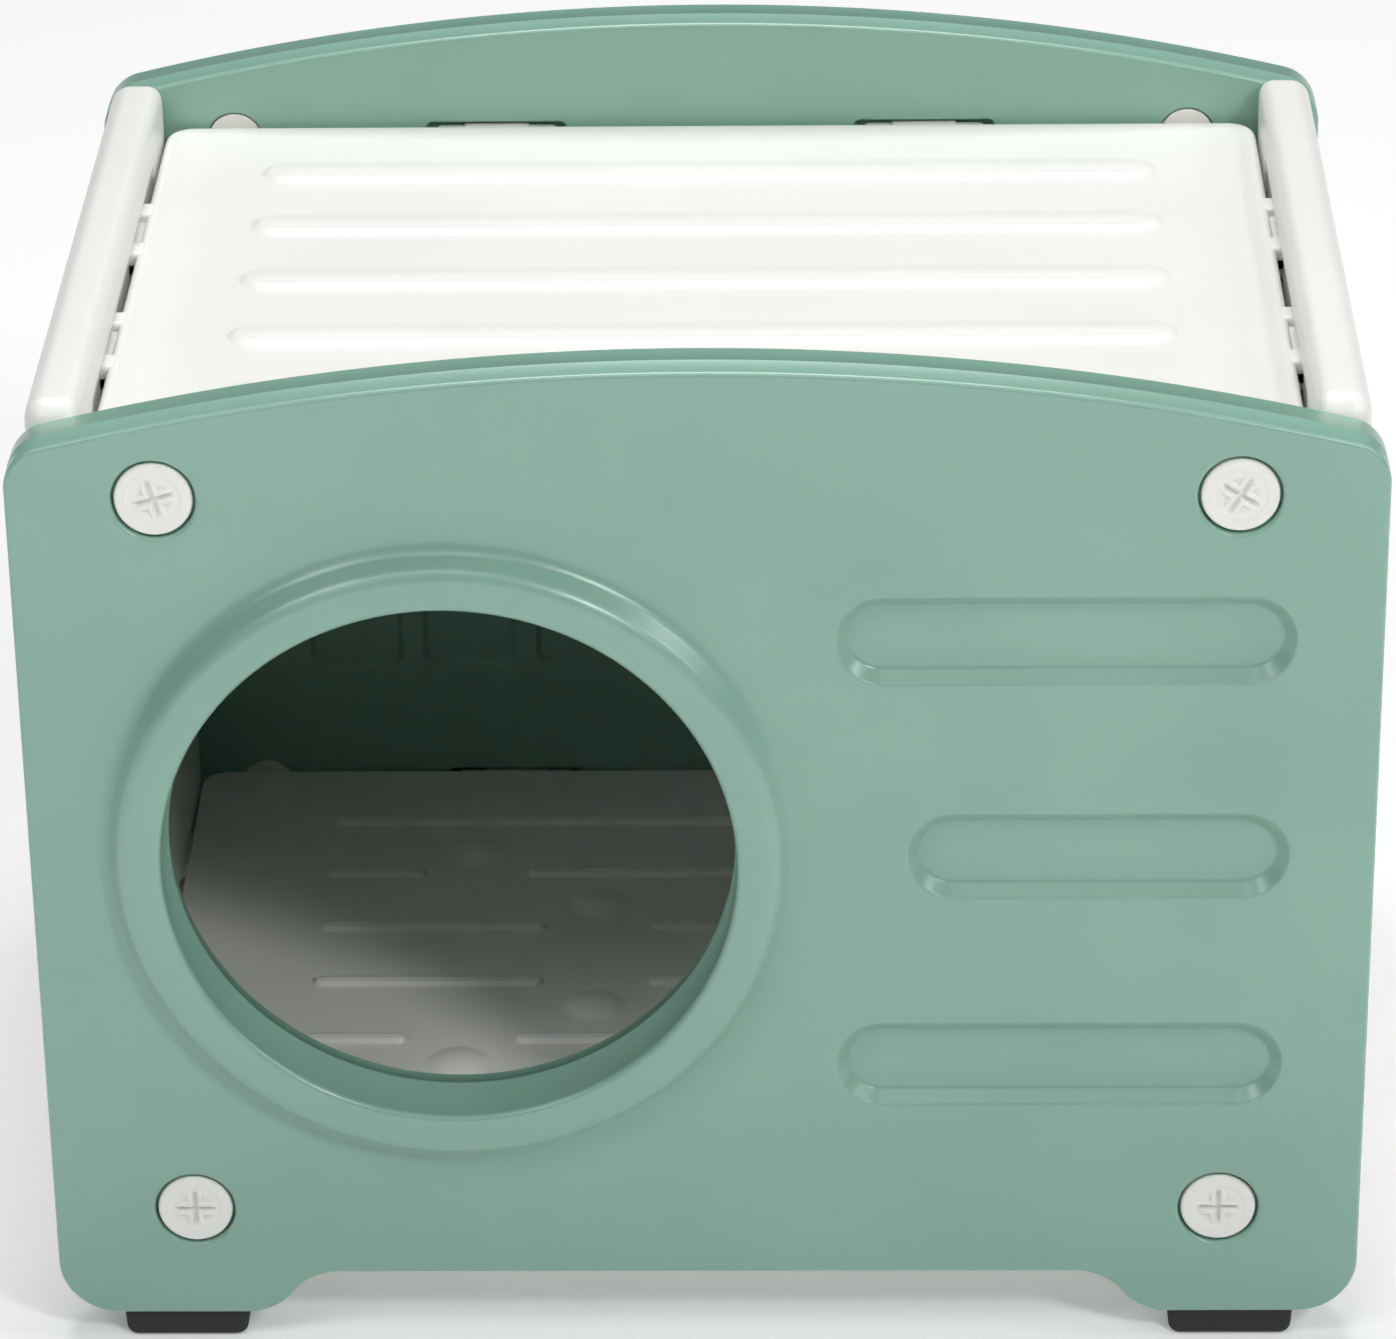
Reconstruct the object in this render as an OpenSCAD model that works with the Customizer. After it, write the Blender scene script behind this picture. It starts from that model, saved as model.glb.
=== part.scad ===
// Small-animal house: six double-walled panels, screws in threaded bushes, rubber feet.
// Millimetres. +Z up, entrance faces -Y, origin at the centre of the footprint on the ground.

/* [Overall] */
// Overall width across the front and back panels
panel_width = 520; // [430:5:640]
// Front face of the front panel to back face of the back panel
body_depth = 384.5; // [310:0.5:480]
// Leg bottom to the top of the arch
panel_height = 414; // [340:1:520]
// Thickness of the front and back panels
panel_thickness = 24.5; // [20:0.5:32]
// Plastic wall of every hollow panel
wall = 3; // [2:0.1:5]

/* [Outline] */
// Height of the arch above its level at the side edges
arch_rise = 33.2; // [10:0.1:60]
// Radius of the two top corners
top_corner_radius = 18; // [8:0.5:40]
// Height of the legs below the raised middle
leg_height = 19; // [8:0.5:40]
// Width of one leg's flat foot, from the side edge
leg_width = 75; // [50:1:110]
// Run of the S-curve between a leg and the raised middle
leg_slope_run = 38; // [20:1:60]
// Radius of the outer bottom corners
leg_corner_radius = 24; // [8:0.5:40]

/* [Entrance] */
// Diameter of the round entrance
entrance_diameter = 222; // [150:1:260]
// Entrance centre from the panel's left edge
entrance_margin = 163; // [140:1:220]
// Entrance centre below the middle of the cabin
entrance_drop = 3.5; // [-20:0.5:20]
// Width of the flat face of the raised ring
ring_width = 15.5; // [8:0.5:30]
// How far the ring stands proud
ring_height = 10; // [3:0.5:20]
// How much wider the ring is at its base
ring_draft = 6.5; // [1:0.5:12]

/* [Slots] */
// Height of a slot-shaped recess
slot_height = 37; // [20:1:50]
// Upright distance between slots
slot_pitch = 93; // [60:1:110]
// Slot end to the panel's right edge
slot_margin = 33; // [20:1:60]
// Upper and lower slots' gap to the ring
slot_gap = 16; // [5:1:60]
// Middle slot's gap to the ring
middle_slot_gap = 43.5; // [10:0.5:80]
// Depth of a slot
slot_depth = 4; // [1:0.5:8]
// Width of a slot's sloping wall
slot_draft = 3.5; // [1:0.5:8]

/* [Sides, roof and floor] */
// Side panel's outer face inside the green panel's edge
side_inset = 5.5; // [2:0.5:20]
// Thickness of a side panel
side_thickness = 21; // [16:0.5:32]
// Height of the side panels above the roof
side_rise = 21; // [5:0.5:40]
// Radius along the side panels' top edges
side_edge_radius = 6; // [2:0.5:9]
// Depth of the relief along the inner face of a side panel
side_relief = 1.5; // [0.5:0.1:3]
// Relief's end to the end of the roof or floor
relief_margin = 47; // [20:1:90]
// Relief below the roof's or floor's underside
relief_below = 2; // [0.5:0.5:5]
// Relief above the roof's or floor's top
relief_above = 1; // [0.5:0.5:3]
// Thickness of the roof and the floor
deck_thickness = 24; // [20:0.5:32]
// Plan radius of the roof and floor corners
deck_corner_radius = 12; // [4:0.5:25]
// Roof's top below the top of the arch
roof_drop = 44.8; // [20:0.1:80]
// Floor's top above the leg bottoms
floor_rise = 55.9; // [45:0.1:90]

/* [Ribs and domes] */
// Number of roof ribs
roof_ribs = 5; // [3:1:7]
// Distance between roof ribs
roof_rib_pitch = 56; // [40:1:70]
// Width of a roof rib
roof_rib_width = 22; // [10:1:30]
// Rib end to the deck's side edge
rib_margin = 45.5; // [20:0.5:80]
// Height of the roof ribs
roof_rib_height = 2.5; // [1:0.1:4]
// Distance between floor ribs
floor_rib_pitch = 47.2; // [35:0.1:60]
// Width of a floor rib
floor_rib_width = 8; // [4:0.5:15]
// Rib end to the deck's side edge, on the floor
floor_rib_margin = 63.5; // [30:0.5:90]
// Height of the floor ribs
floor_rib_height = 2.6; // [1:0.1:4]
// Radius of a floor dome
dome_radius = 12.5; // [6:0.5:18]
// Height of a floor dome
dome_height = 3; // [1:0.1:5]
// Outer dome's centre from the middle, sideways
dome_x_outer = 103.8; // [80:0.1:140]
// Inner dome's centre from the middle, sideways
dome_x_inner = 49; // [30:0.1:70]
// Outer dome's centre from the middle, front to back
dome_y_outer = 90; // [70:0.1:110]
// Inner dome's centre from the middle, front to back
dome_y_inner = 43.3; // [30:0.1:60]
// Gap in a rib beside a dome
rib_break = 44.3; // [30:0.1:60]

/* [Tongues] */
// Tongue centres from the middle, front and back edges
tongue_x = 91.5; // [60:0.5:140]
// Tongue width, front and back edges
tongue_width = 52; // [30:1:80]
// Tongue centres from the middle, side edges
tongue_y = 56; // [40:0.5:90]
// Tongue width, side edges
side_tongue_width = 54; // [30:1:80]
// Width of the middle part of a tongue
tongue_middle = 29; // [15:1:45]
// How far a tongue reaches into its socket
tongue_length = 5; // [3:0.5:8]
// Height of a tongue
tongue_depth = 12; // [6:0.5:16]
// Step between a tongue's middle and its ends
tongue_step = 2; // [0.5:0.5:4]
// Clearance round a tongue in its socket
tongue_clearance = 0.5; // [0.2:0.1:2]
// Extra socket length at each end of a tongue
socket_play = 4; // [0.5:0.5:8]
// Width of the side panels' end tongues
end_tongue_width = 9; // [6:0.5:12]
// Height of the side panels' end tongues
end_tongue_height = 60; // [30:1:90]
// End tongues' share of the way from floor to roof, and from roof to floor
end_tongue_share = 0.25; // [0.2:0.01:0.35]

/* [Screws and bushes] */
// Screw axis below the roof's and floor's top
screw_drop = 6.7; // [6:0.1:12]
// Screw axis from the panel's side edge
screw_margin = 56.3; // [45:0.5:80]
// Diameter of a screw head
head_diameter = 29.6; // [20:0.2:40]
// Thickness of a screw head
head_thickness = 4.7; // [3:0.1:8]
// Gap round a screw head
head_clearance = 0.9; // [0.3:0.1:2]
// How far a head lies below the panel's face
head_recess = 0.5; // [0:0.1:2]
// Length of the cross recess's arms
cross_length = 19; // [10:0.5:24]
// Width of the cross recess's arms
cross_width = 3.4; // [1.5:0.1:5]
// Depth of the cross recess
cross_depth = 2.2; // [1:0.1:3]
// Diameter of the screw's shank
shank_diameter = 8; // [5:0.2:9]
// Gap between shank and bush
shank_clearance = 0.1; // [0.05:0.05:0.5]
// How far the shank reaches past the inner face
shank_reach = 22; // [12:1:30]
// Diameter of a bush's flange
flange_diameter = 22.6; // [18:0.2:30]
// Length of a bush's flange
flange_length = 5.5; // [3:0.5:8]
// Gap round a bush's flange
flange_clearance = 0.6; // [0.2:0.1:2]
// Diameter of a bush's barrel
barrel_diameter = 10.8; // [9.6:0.2:12]
// Length of a bush's barrel
barrel_length = 27; // [15:1:35]
// Gap round a bush's barrel
barrel_clearance = 0.05; // [0.05:0.05:0.3]
// Extra depth of the holes for barrels and plugs
hole_play = 0.5; // [0.2:0.1:2]

/* [Feet] */
// Height of the visible part of a foot
foot_height = 12.5; // [6:0.5:25]
// Width of a foot
foot_width = 50.4; // [30:0.2:70]
// Depth of a foot, front to back
foot_depth = 21; // [14:0.5:28]
// Radius of a foot's bottom corners
foot_radius = 2.5; // [0.5:0.5:6]
// Diameter of a foot's plug
plug_diameter = 10; // [6:0.5:14]
// Length of a foot's plug
plug_length = 11; // [6:0.5:16]
// Gap round a plug
plug_clearance = 0.05; // [0.05:0.05:0.3]

/* [Back panel pockets] */
// Distance between the bars of the inner pockets
pocket_pitch = 50.5; // [40:0.5:60]
// Half-width of the middle pocket
middle_pocket = 34.7; // [25:0.1:45]
// Width of a bar between pockets
pocket_bar = 9; // [5:0.5:15]
// Depth of a pocket
pocket_depth = 3; // [1:0.5:5]
// Pocket's lower edge above the floor
pocket_rise = 54.6; // [30:0.1:80]
// Pocket's upper edge below the roof's underside
pocket_drop = 30; // [10:1:60]

/* [Fits] */
// Gap between the roof or floor and the front or back panel
deck_gap = 0.5; // [0.2:0.1:2]
// Gap between the roof or floor and a side panel
side_gap = 1; // [0.5:0.1:3]
// Gap between a side panel and the front or back panel
end_gap = 0.3; // [0.1:0.1:1]
// Radius of the moulding vent
vent_radius = 3; // [1.5:0.5:4]

/* [Turns of the screws] */
// Front top left
turn_front_top_left = 22; // [0:1:89]
// Front top right
turn_front_top_right = 45; // [0:1:89]
// Front bottom left
turn_front_bottom_left = 0; // [0:1:89]
// Front bottom right
turn_front_bottom_right = 0; // [0:1:89]
// Back top left
turn_back_top_left = 10; // [0:1:89]
// Back top right
turn_back_top_right = 70; // [0:1:89]
// Back bottom left
turn_back_bottom_left = 35; // [0:1:89]
// Back bottom right
turn_back_bottom_right = 0; // [0:1:89]

/* [Hidden] */
$fn = 96;
eps = 0.01;
// how far joined solids reach into each other, and cuts reach past a face
lap = 1;
// reach of the wedge that keeps only the arch's part of its circle
wedge = 1.2;
half_w = panel_width/2;
total_depth = body_depth + ring_height;
front_y = ring_height - total_depth/2;
back_y = total_depth/2;
in_f = front_y + panel_thickness;
in_b = back_y - panel_thickness;
mid_y = (in_f + in_b)/2;
cabin_depth = in_b - in_f;
leg_z = foot_height;
arch_z = leg_z + panel_height;
recess_z = leg_z + leg_height;
roof_z = arch_z - roof_drop;
floor_z = leg_z + floor_rise;
side_z = roof_z + side_rise;
side_out = half_w - side_inset;
side_in = side_out - side_thickness;
side_mid = (side_out + side_in)/2;
deck_half = side_in - side_gap;
deck_length = cabin_depth - 2*deck_gap;
screw_x = half_w - screw_margin;
screw_zt = roof_z - screw_drop;
screw_zb = floor_z - screw_drop;
foot_x = half_w - leg_width + foot_width/2;
entrance_r = entrance_diameter/2;
entrance_x = entrance_margin - half_w;
entrance_z = (roof_z + floor_z)/2 - entrance_drop;
ring_base = entrance_r + ring_width + ring_draft;
arch_r = (half_w*half_w + arch_rise*arch_rise)/(2*arch_rise);
head_r = head_diameter/2 + head_clearance;
head_floor = head_recess + head_thickness;
flange_r = flange_diameter/2;
socket_r = flange_r + flange_clearance;
socket_depth = flange_length - deck_gap + tongue_clearance;
tongue_socket = tongue_length - deck_gap + tongue_clearance;
side_tongue = side_gap + side_relief + tongue_length;
barrel_hole = barrel_diameter/2 + barrel_clearance;
plug_hole = plug_diameter/2 + plug_clearance;
relief_half = deck_length/2 - relief_margin;
rib_half = deck_half - rib_margin;
floor_rib_half = deck_half - floor_rib_margin;

// ---- outlines in the X-Z plane ----
module leg_gap(i) {
  x1 = half_w - leg_width - leg_slope_run;
  x2 = half_w - leg_width;
  a = 2*atan(leg_height/leg_slope_run);
  rs = leg_slope_run/(2*sin(a));
  mx = x1 + (rs + i)*sin(a);
  mz = recess_z - rs + (rs + i)*cos(a);
  for (s = [0, 1]) mirror([s, 0]) difference() {
    union() {
      polygon([[-lap, leg_z - lap], [-lap, recess_z + i], [x1, recess_z + i], [mx, mz],
               [x2, leg_z + i], [x2, leg_z - lap]]);
      intersection() {
        translate([x1, recess_z - rs]) circle(rs + i);
        translate([x1, mz]) square([mx - x1, recess_z + i - mz]);
      }
    }
    intersection() {
      translate([x2, leg_z + rs]) circle(rs - i);
      translate([mx, leg_z + i]) square([x2 - mx, mz - leg_z - i]);
    }
  }
}

module outline(i) {
  cx = half_w - top_corner_radius;
  ca = arch_z - arch_r;
  cz = ca + sqrt(pow(arch_r - top_corner_radius, 2) - cx*cx);
  lx = half_w - leg_corner_radius;
  lz = leg_z + leg_corner_radius;
  difference() {
    union() {
      intersection() {
        translate([0, ca]) circle(arch_r - i, $fn = 720);
        polygon([[0, ca], [wedge*cx, ca + wedge*(cz - ca)], [-wedge*cx, ca + wedge*(cz - ca)]]);
        translate([-half_w, lz]) square([panel_width, panel_height]);
      }
      translate([i - half_w, lz]) square([panel_width - 2*i, cz - lz]);
      translate([-lx, leg_z + i]) square([2*lx, leg_corner_radius]);
      for (s = [-1, 1]) {
        translate([s*cx, cz]) circle(top_corner_radius - i);
        translate([s*lx, lz]) circle(leg_corner_radius - i);
      }
    }
    leg_gap(i);
  }
}

// an X-Z outline drawn at y = 0 and made t thick towards +Y
module thick(t) {
  translate([0, t, 0]) rotate([90, 0, 0]) linear_extrude(t) children();
}

// a cylinder along Y from y0 to y1
module rod(x, z, r, y0, y1) {
  translate([x, y1, z]) rotate([90, 0, 0]) cylinder(h = y1 - y0, r = r);
}

module block(x0, x1, y0, y1, z0, z1) {
  translate([x0, y0, z0]) cube([x1 - x0, y1 - y0, z1 - z0]);
}

// ---- shared end panel: outer face at y = 0, inner face at y = panel_thickness ----
module screw_hole(x, z) {
  rod(x, z, head_r, -eps, head_floor);
  rod(x, z, shank_diameter/2 + shank_clearance, 0, panel_thickness);
  rod(x, z, socket_r, panel_thickness - socket_depth, panel_thickness + eps);
}

module deck_socket(x, z, grow) {
  w = tongue_width/2 + socket_play + grow;
  block(x - w, x + w, panel_thickness - tongue_socket - grow, panel_thickness + eps,
        z - tongue_depth - tongue_step - tongue_clearance - grow, z + tongue_clearance + grow);
}

module side_socket(s, z, grow) {
  w = end_tongue_width/2 + tongue_clearance + grow;
  h = end_tongue_height/2 + tongue_clearance + grow;
  block(s*side_mid - w, s*side_mid + w, panel_thickness - tongue_socket - grow,
        panel_thickness + eps, z - h, z + h);
}

side_sockets_z = [floor_z + end_tongue_share*(roof_z - floor_z),
                  roof_z - end_tongue_share*(roof_z - floor_z)];

module sockets(grow) {
  for (s = [-1, 1]) {
    deck_socket(s*tongue_x, roof_z, grow);
    deck_socket(s*tongue_x, floor_z, grow);
    for (z = side_sockets_z) side_socket(s, z, grow);
  }
}

module end_panel() {
  difference() {
    thick(panel_thickness) outline(0);
    difference() {
      translate([0, wall, 0]) thick(panel_thickness - 2*wall) outline(wall);
      for (s = [-1, 1]) {
        for (z = [screw_zb, screw_zt]) rod(s*screw_x, z, head_r + wall, 0, panel_thickness);
        translate([s*foot_x, panel_thickness/2, leg_z])
          cylinder(h = plug_length + wall, r = plug_hole + wall);
      }
      sockets(wall);
      children();
    }
    for (s = [-1, 1]) {
      for (z = [screw_zb, screw_zt]) screw_hole(s*screw_x, z);
      translate([s*foot_x, panel_thickness/2, leg_z - eps])
        cylinder(h = plug_length + hole_play, r = plug_hole);
    }
    sockets(0);
    translate([0, panel_thickness/2, recess_z - eps]) cylinder(h = 2*wall, r = vent_radius);
  }
}

// ---- front panel ----
module slot(x0, x1, z) {
  r = slot_height/2;
  d = slot_depth + eps;
  for (x = [x0 + r, x1 - r]) translate([x, slot_depth, z]) rotate([90, 0, 0])
    cylinder(h = d, r1 = r - slot_draft, r2 = r + eps);
  translate([x0 + r, 0, 0]) rotate([90, 0, 90]) linear_extrude(x1 - x0 - slot_height)
    polygon([[-eps, z - r - eps], [slot_depth, z - r + slot_draft],
             [slot_depth, z + r - slot_draft], [-eps, z + r + eps]]);
}

module slot_backing(x0, x1, z) {
  r = slot_height/2 + wall;
  thick(slot_depth + wall) {
    translate([x0 - wall + r, z - r]) square([x1 - x0 + 2*wall - 2*r, 2*r]);
    for (x = [x0 - wall + r, x1 + wall - r]) translate([x, z]) circle(r);
  }
}

slot_left = entrance_x + ring_base;
slot_right = half_w - slot_margin;
slots = [[slot_left + slot_gap, slot_pitch], [slot_left + middle_slot_gap, 0],
         [slot_left + slot_gap, -slot_pitch]];

module front_panel() {
  color([0.50, 0.73, 0.66]) translate([0, front_y, 0]) difference() {
    union() {
      end_panel() {
        rod(entrance_x, entrance_z, entrance_r + wall, 0, panel_thickness);
        for (p = slots) slot_backing(p[0], slot_right, entrance_z + p[1]);
      }
      translate([entrance_x, 0, entrance_z]) rotate([90, 0, 0]) rotate_extrude($fn = 180)
        polygon([[entrance_r - lap, -wall], [ring_base, -wall], [ring_base, 0],
                 [entrance_r + ring_width, ring_height], [entrance_r - lap, ring_height]]);
    }
    rod(entrance_x, entrance_z, entrance_r, -ring_height - lap, panel_thickness + lap, $fn = 180);
    for (p = slots) slot(p[0], slot_right, entrance_z + p[1]);
  }
}

// ---- back panel ----
function pocket_edges(k) = k == 0 ? [-middle_pocket + pocket_bar/2, middle_pocket - pocket_bar/2]
  : [middle_pocket + (k - 1)*pocket_pitch + pocket_bar/2, middle_pocket + k*pocket_pitch - pocket_bar/2];

module pockets(grow) {
  z0 = floor_z + pocket_rise - grow;
  z1 = roof_z - deck_thickness - pocket_drop + grow;
  for (k = [0, 1, 2, 3], s = [0, 1]) mirror([s, 0, 0])
    block(pocket_edges(k)[0] - grow, pocket_edges(k)[1] + grow,
          panel_thickness - pocket_depth - grow, panel_thickness + eps, z0, z1);
}

module back_panel() {
  color([0.50, 0.73, 0.66]) translate([0, back_y, 0]) mirror([0, 1, 0]) difference() {
    end_panel() pockets(wall);
    pockets(0);
  }
}

// ---- side panels ----
module side_profile(i) {
  r = side_edge_radius;
  translate([side_in + i, recess_z + i]) square([side_thickness - 2*i, side_z - r - recess_z - i]);
  translate([side_in + r, side_z - r]) square([side_thickness - 2*r, r - i]);
  for (x = [side_in + r, side_out - r]) translate([x, side_z - r]) circle(r - i);
}

module deck_notch(z, grow) {
  for (s = [-1, 1]) block(side_in - eps, side_in + side_relief + tongue_length + tongue_clearance + grow,
    mid_y + s*tongue_y - side_tongue_width/2 - tongue_clearance - grow,
    mid_y + s*tongue_y + side_tongue_width/2 + tongue_clearance + grow,
    z - tongue_depth - tongue_step - tongue_clearance - grow, z + tongue_clearance + grow);
}

module relief(z, grow) {
  block(side_in - eps, side_in + side_relief + grow, mid_y - relief_half - grow,
        mid_y + relief_half + grow, z - deck_thickness - relief_below - grow, z + relief_above + grow);
}

module side_panel() {
  l = cabin_depth - 2*end_gap;
  difference() {
    union() {
      translate([0, mid_y - l/2, 0]) thick(l) side_profile(0);
      for (z = side_sockets_z) block(side_mid - end_tongue_width/2, side_mid + end_tongue_width/2,
        mid_y - l/2 - tongue_length + 2*end_gap, mid_y + l/2 + tongue_length - 2*end_gap,
        z - end_tongue_height/2, z + end_tongue_height/2);
    }
    difference() {
      translate([0, mid_y - l/2 + wall, 0]) thick(l - 2*wall) side_profile(wall);
      for (z = [roof_z, floor_z]) {
        deck_notch(z, wall);
        relief(z, wall);
      }
    }
    for (z = [roof_z, floor_z]) {
      deck_notch(z, 0);
      relief(z, 0);
    }
    translate([side_mid, mid_y, recess_z - eps]) cylinder(h = 2*wall, r = vent_radius);
  }
}

module right_side_panel() {
  color([0.93, 0.93, 0.91]) side_panel();
}

module left_side_panel() {
  color([0.93, 0.93, 0.91]) mirror([1, 0, 0]) side_panel();
}

// ---- roof and floor ----
module deck_plan(i) {
  r = deck_corner_radius;
  hx = deck_half - r;
  hy = deck_length/2 - r;
  translate([-hx, mid_y - hy - r + i]) square([2*hx, 2*(hy + r - i)]);
  translate([-hx - r + i, mid_y - hy]) square([2*(hx + r - i), 2*hy]);
  for (x = [-hx, hx], y = [mid_y - hy, mid_y + hy]) translate([x, y]) circle(r - i);
}

module edge_tongue(x, z) {
  w = tongue_width/2;
  m = tongue_middle/2;
  y1 = deck_length/2;
  block(x - w, x + w, y1 - lap, y1 + tongue_length, z - tongue_depth - tongue_step, z - tongue_step);
  block(x - m, x + m, y1 - lap, y1 + tongue_length, z - tongue_depth, z - tongue_step/2);
}

module side_tongue_pair(z) {
  w = side_tongue_width/2;
  m = tongue_middle/2;
  x1 = deck_half + side_tongue;
  for (s = [-1, 1]) {
    block(deck_half - lap, x1, s*tongue_y - w, s*tongue_y + w, z - tongue_depth - tongue_step,
          z - 2*tongue_step);
    for (t = [-w, m]) block(deck_half - lap, x1, s*tongue_y + t, s*tongue_y + t + w - m,
                            z - tongue_depth, z - tongue_step/4);
  }
}

module deck(z) {
  difference() {
    union() {
      translate([0, 0, z - deck_thickness]) linear_extrude(deck_thickness) deck_plan(0);
      translate([0, mid_y, 0]) for (s = [0, 1]) {
        mirror([0, s, 0]) for (x = [-tongue_x, tongue_x]) edge_tongue(x, z);
        mirror([s, 0, 0]) side_tongue_pair(z);
      }
    }
    difference() {
      translate([0, 0, z - deck_thickness + wall]) linear_extrude(deck_thickness - 2*wall) deck_plan(wall);
      for (s = [-1, 1]) {
        rod(s*screw_x, z - screw_drop, barrel_hole + wall, in_f, in_f + deck_gap + barrel_length + 2*wall);
        rod(s*screw_x, z - screw_drop, barrel_hole + wall, in_b - deck_gap - barrel_length - 2*wall, in_b);
      }
    }
    for (s = [-1, 1]) {
      rod(s*screw_x, z - screw_drop, barrel_hole, in_f, in_f + deck_gap + barrel_length + hole_play);
      rod(s*screw_x, z - screw_drop, barrel_hole, in_b - deck_gap - barrel_length - hole_play, in_b);
    }
    translate([0, mid_y, z - deck_thickness - eps]) cylinder(h = 2*wall, r = vent_radius);
  }
}

// a raised rib along X with round ends
module rib(x0, x1, y, w, z, h) {
  translate([0, y, z - lap]) linear_extrude(h + lap) {
    translate([x0 + w/2, -w/2]) square([x1 - x0 - w, w]);
    for (x = [x0 + w/2, x1 - w/2]) translate([x, 0]) circle(w/2);
  }
}

module roof_panel() {
  color([0.94, 0.94, 0.92]) {
    deck(roof_z);
    for (k = [0:roof_ribs - 1]) rib(-rib_half, rib_half, mid_y + (k - (roof_ribs - 1)/2)*roof_rib_pitch,
                                    roof_rib_width, roof_z, roof_rib_height);
  }
}

module floor_rib(x0, x1, y) {
  rib(x0, x1, mid_y + y, floor_rib_width, floor_z, floor_rib_height);
}

// a shallow dome cut from a sphere
module dome(x, y) {
  r = (dome_radius*dome_radius + dome_height*dome_height)/(2*dome_height);
  intersection() {
    translate([x, mid_y + y, floor_z + dome_height - r]) sphere(r);
    translate([x, mid_y + y, floor_z - lap]) cylinder(h = dome_height + 2*lap, r = dome_radius);
  }
}

module floor_panel() {
  g = rib_break/2;
  color([0.90, 0.89, 0.86]) {
    deck(floor_z);
    for (s = [-1, 1]) {
      floor_rib(-floor_rib_half, floor_rib_half, s*2.5*floor_rib_pitch);
      floor_rib(g - dome_x_outer, dome_x_outer - g, s*1.5*floor_rib_pitch);
      floor_rib(g - dome_x_inner, dome_x_inner - g, s*0.5*floor_rib_pitch);
      for (t = [-1, 1]) {
        floor_rib(t > 0 ? dome_x_outer + g : -floor_rib_half, t > 0 ? floor_rib_half : -dome_x_outer - g,
                  s*1.5*floor_rib_pitch);
        floor_rib(t > 0 ? dome_x_inner + g : -floor_rib_half, t > 0 ? floor_rib_half : -dome_x_inner - g,
                  s*0.5*floor_rib_pitch);
        dome(t*dome_x_outer, s*dome_y_outer);
        dome(t*dome_x_inner, s*dome_y_inner);
      }
    }
  }
}

// ---- screws: head's face towards -Y, drawn for the front panel at x = 0, z = 0 ----
module screw(turn) {
  color([0.95, 0.95, 0.94]) rotate([90, 0, 0]) rotate([0, 0, turn]) {
    difference() {
      translate([0, 0, -head_floor]) cylinder(h = head_thickness, r = head_diameter/2);
      for (a = [0, 90]) rotate([0, 0, a])
        translate([-cross_length/2, -cross_width/2, -head_recess - cross_depth])
          cube([cross_length, cross_width, cross_depth + lap]);
    }
    translate([0, 0, -panel_thickness - shank_reach])
      cylinder(h = panel_thickness + shank_reach - head_floor + eps, r = shank_diameter/2);
  }
}

module at_front(x, z) {
  translate([x, front_y, z]) children();
}

module at_back(x, z) {
  translate([x, back_y, z]) mirror([0, 1, 0]) children();
}

module screw_front_top_left() { at_front(-screw_x, screw_zt) screw(turn_front_top_left); }
module screw_front_top_right() { at_front(screw_x, screw_zt) screw(turn_front_top_right); }
module screw_front_bottom_left() { at_front(-screw_x, screw_zb) screw(turn_front_bottom_left); }
module screw_front_bottom_right() { at_front(screw_x, screw_zb) screw(turn_front_bottom_right); }
module screw_back_top_left() { at_back(-screw_x, screw_zt) screw(turn_back_top_left); }
module screw_back_top_right() { at_back(screw_x, screw_zt) screw(turn_back_top_right); }
module screw_back_bottom_left() { at_back(-screw_x, screw_zb) screw(turn_back_bottom_left); }
module screw_back_bottom_right() { at_back(screw_x, screw_zb) screw(turn_back_bottom_right); }

// ---- threaded bushes: flange in the green panel, barrel in the deck's edge ----
module bush() {
  y0 = panel_thickness + deck_gap;
  color([0.88, 0.87, 0.84]) difference() {
    union() {
      rod(0, 0, flange_r, y0 - flange_length, y0);
      rod(0, 0, barrel_diameter/2, y0 - eps, y0 + barrel_length);
    }
    rod(0, 0, shank_diameter/2 + shank_clearance, y0 - flange_length - lap, y0 + barrel_length + lap);
  }
}

module bush_front_top_left() { at_front(-screw_x, screw_zt) bush(); }
module bush_front_top_right() { at_front(screw_x, screw_zt) bush(); }
module bush_front_bottom_left() { at_front(-screw_x, screw_zb) bush(); }
module bush_front_bottom_right() { at_front(screw_x, screw_zb) bush(); }
module bush_back_top_left() { at_back(-screw_x, screw_zt) bush(); }
module bush_back_top_right() { at_back(screw_x, screw_zt) bush(); }
module bush_back_bottom_left() { at_back(-screw_x, screw_zb) bush(); }
module bush_back_bottom_right() { at_back(screw_x, screw_zb) bush(); }

// ---- rubber feet ----
module foot(x, y) {
  w = foot_width/2;
  r = foot_radius;
  color([0.05, 0.05, 0.05]) translate([x, y, 0]) {
    translate([0, -foot_depth/2, 0]) thick(foot_depth) {
      translate([-w, r]) square([2*w, foot_height - r]);
      translate([r - w, 0]) square([2*(w - r), r]);
      for (s = [-1, 1]) translate([s*(w - r), r]) circle(r);
    }
    cylinder(h = foot_height + plug_length, r = plug_diameter/2);
  }
}

foot_yf = front_y + panel_thickness/2;
foot_yb = back_y - panel_thickness/2;
module foot_front_left() { foot(-foot_x, foot_yf); }
module foot_front_right() { foot(foot_x, foot_yf); }
module foot_back_left() { foot(-foot_x, foot_yb); }
module foot_back_right() { foot(foot_x, foot_yb); }

front_panel();
back_panel();
left_side_panel();
right_side_panel();
roof_panel();
floor_panel();
screw_front_top_left();
screw_front_top_right();
screw_front_bottom_left();
screw_front_bottom_right();
screw_back_top_left();
screw_back_top_right();
screw_back_bottom_left();
screw_back_bottom_right();
bush_front_top_left();
bush_front_top_right();
bush_front_bottom_left();
bush_front_bottom_right();
bush_back_top_left();
bush_back_top_right();
bush_back_bottom_left();
bush_back_bottom_right();
foot_front_left();
foot_front_right();
foot_back_left();
foot_back_right();
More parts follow.
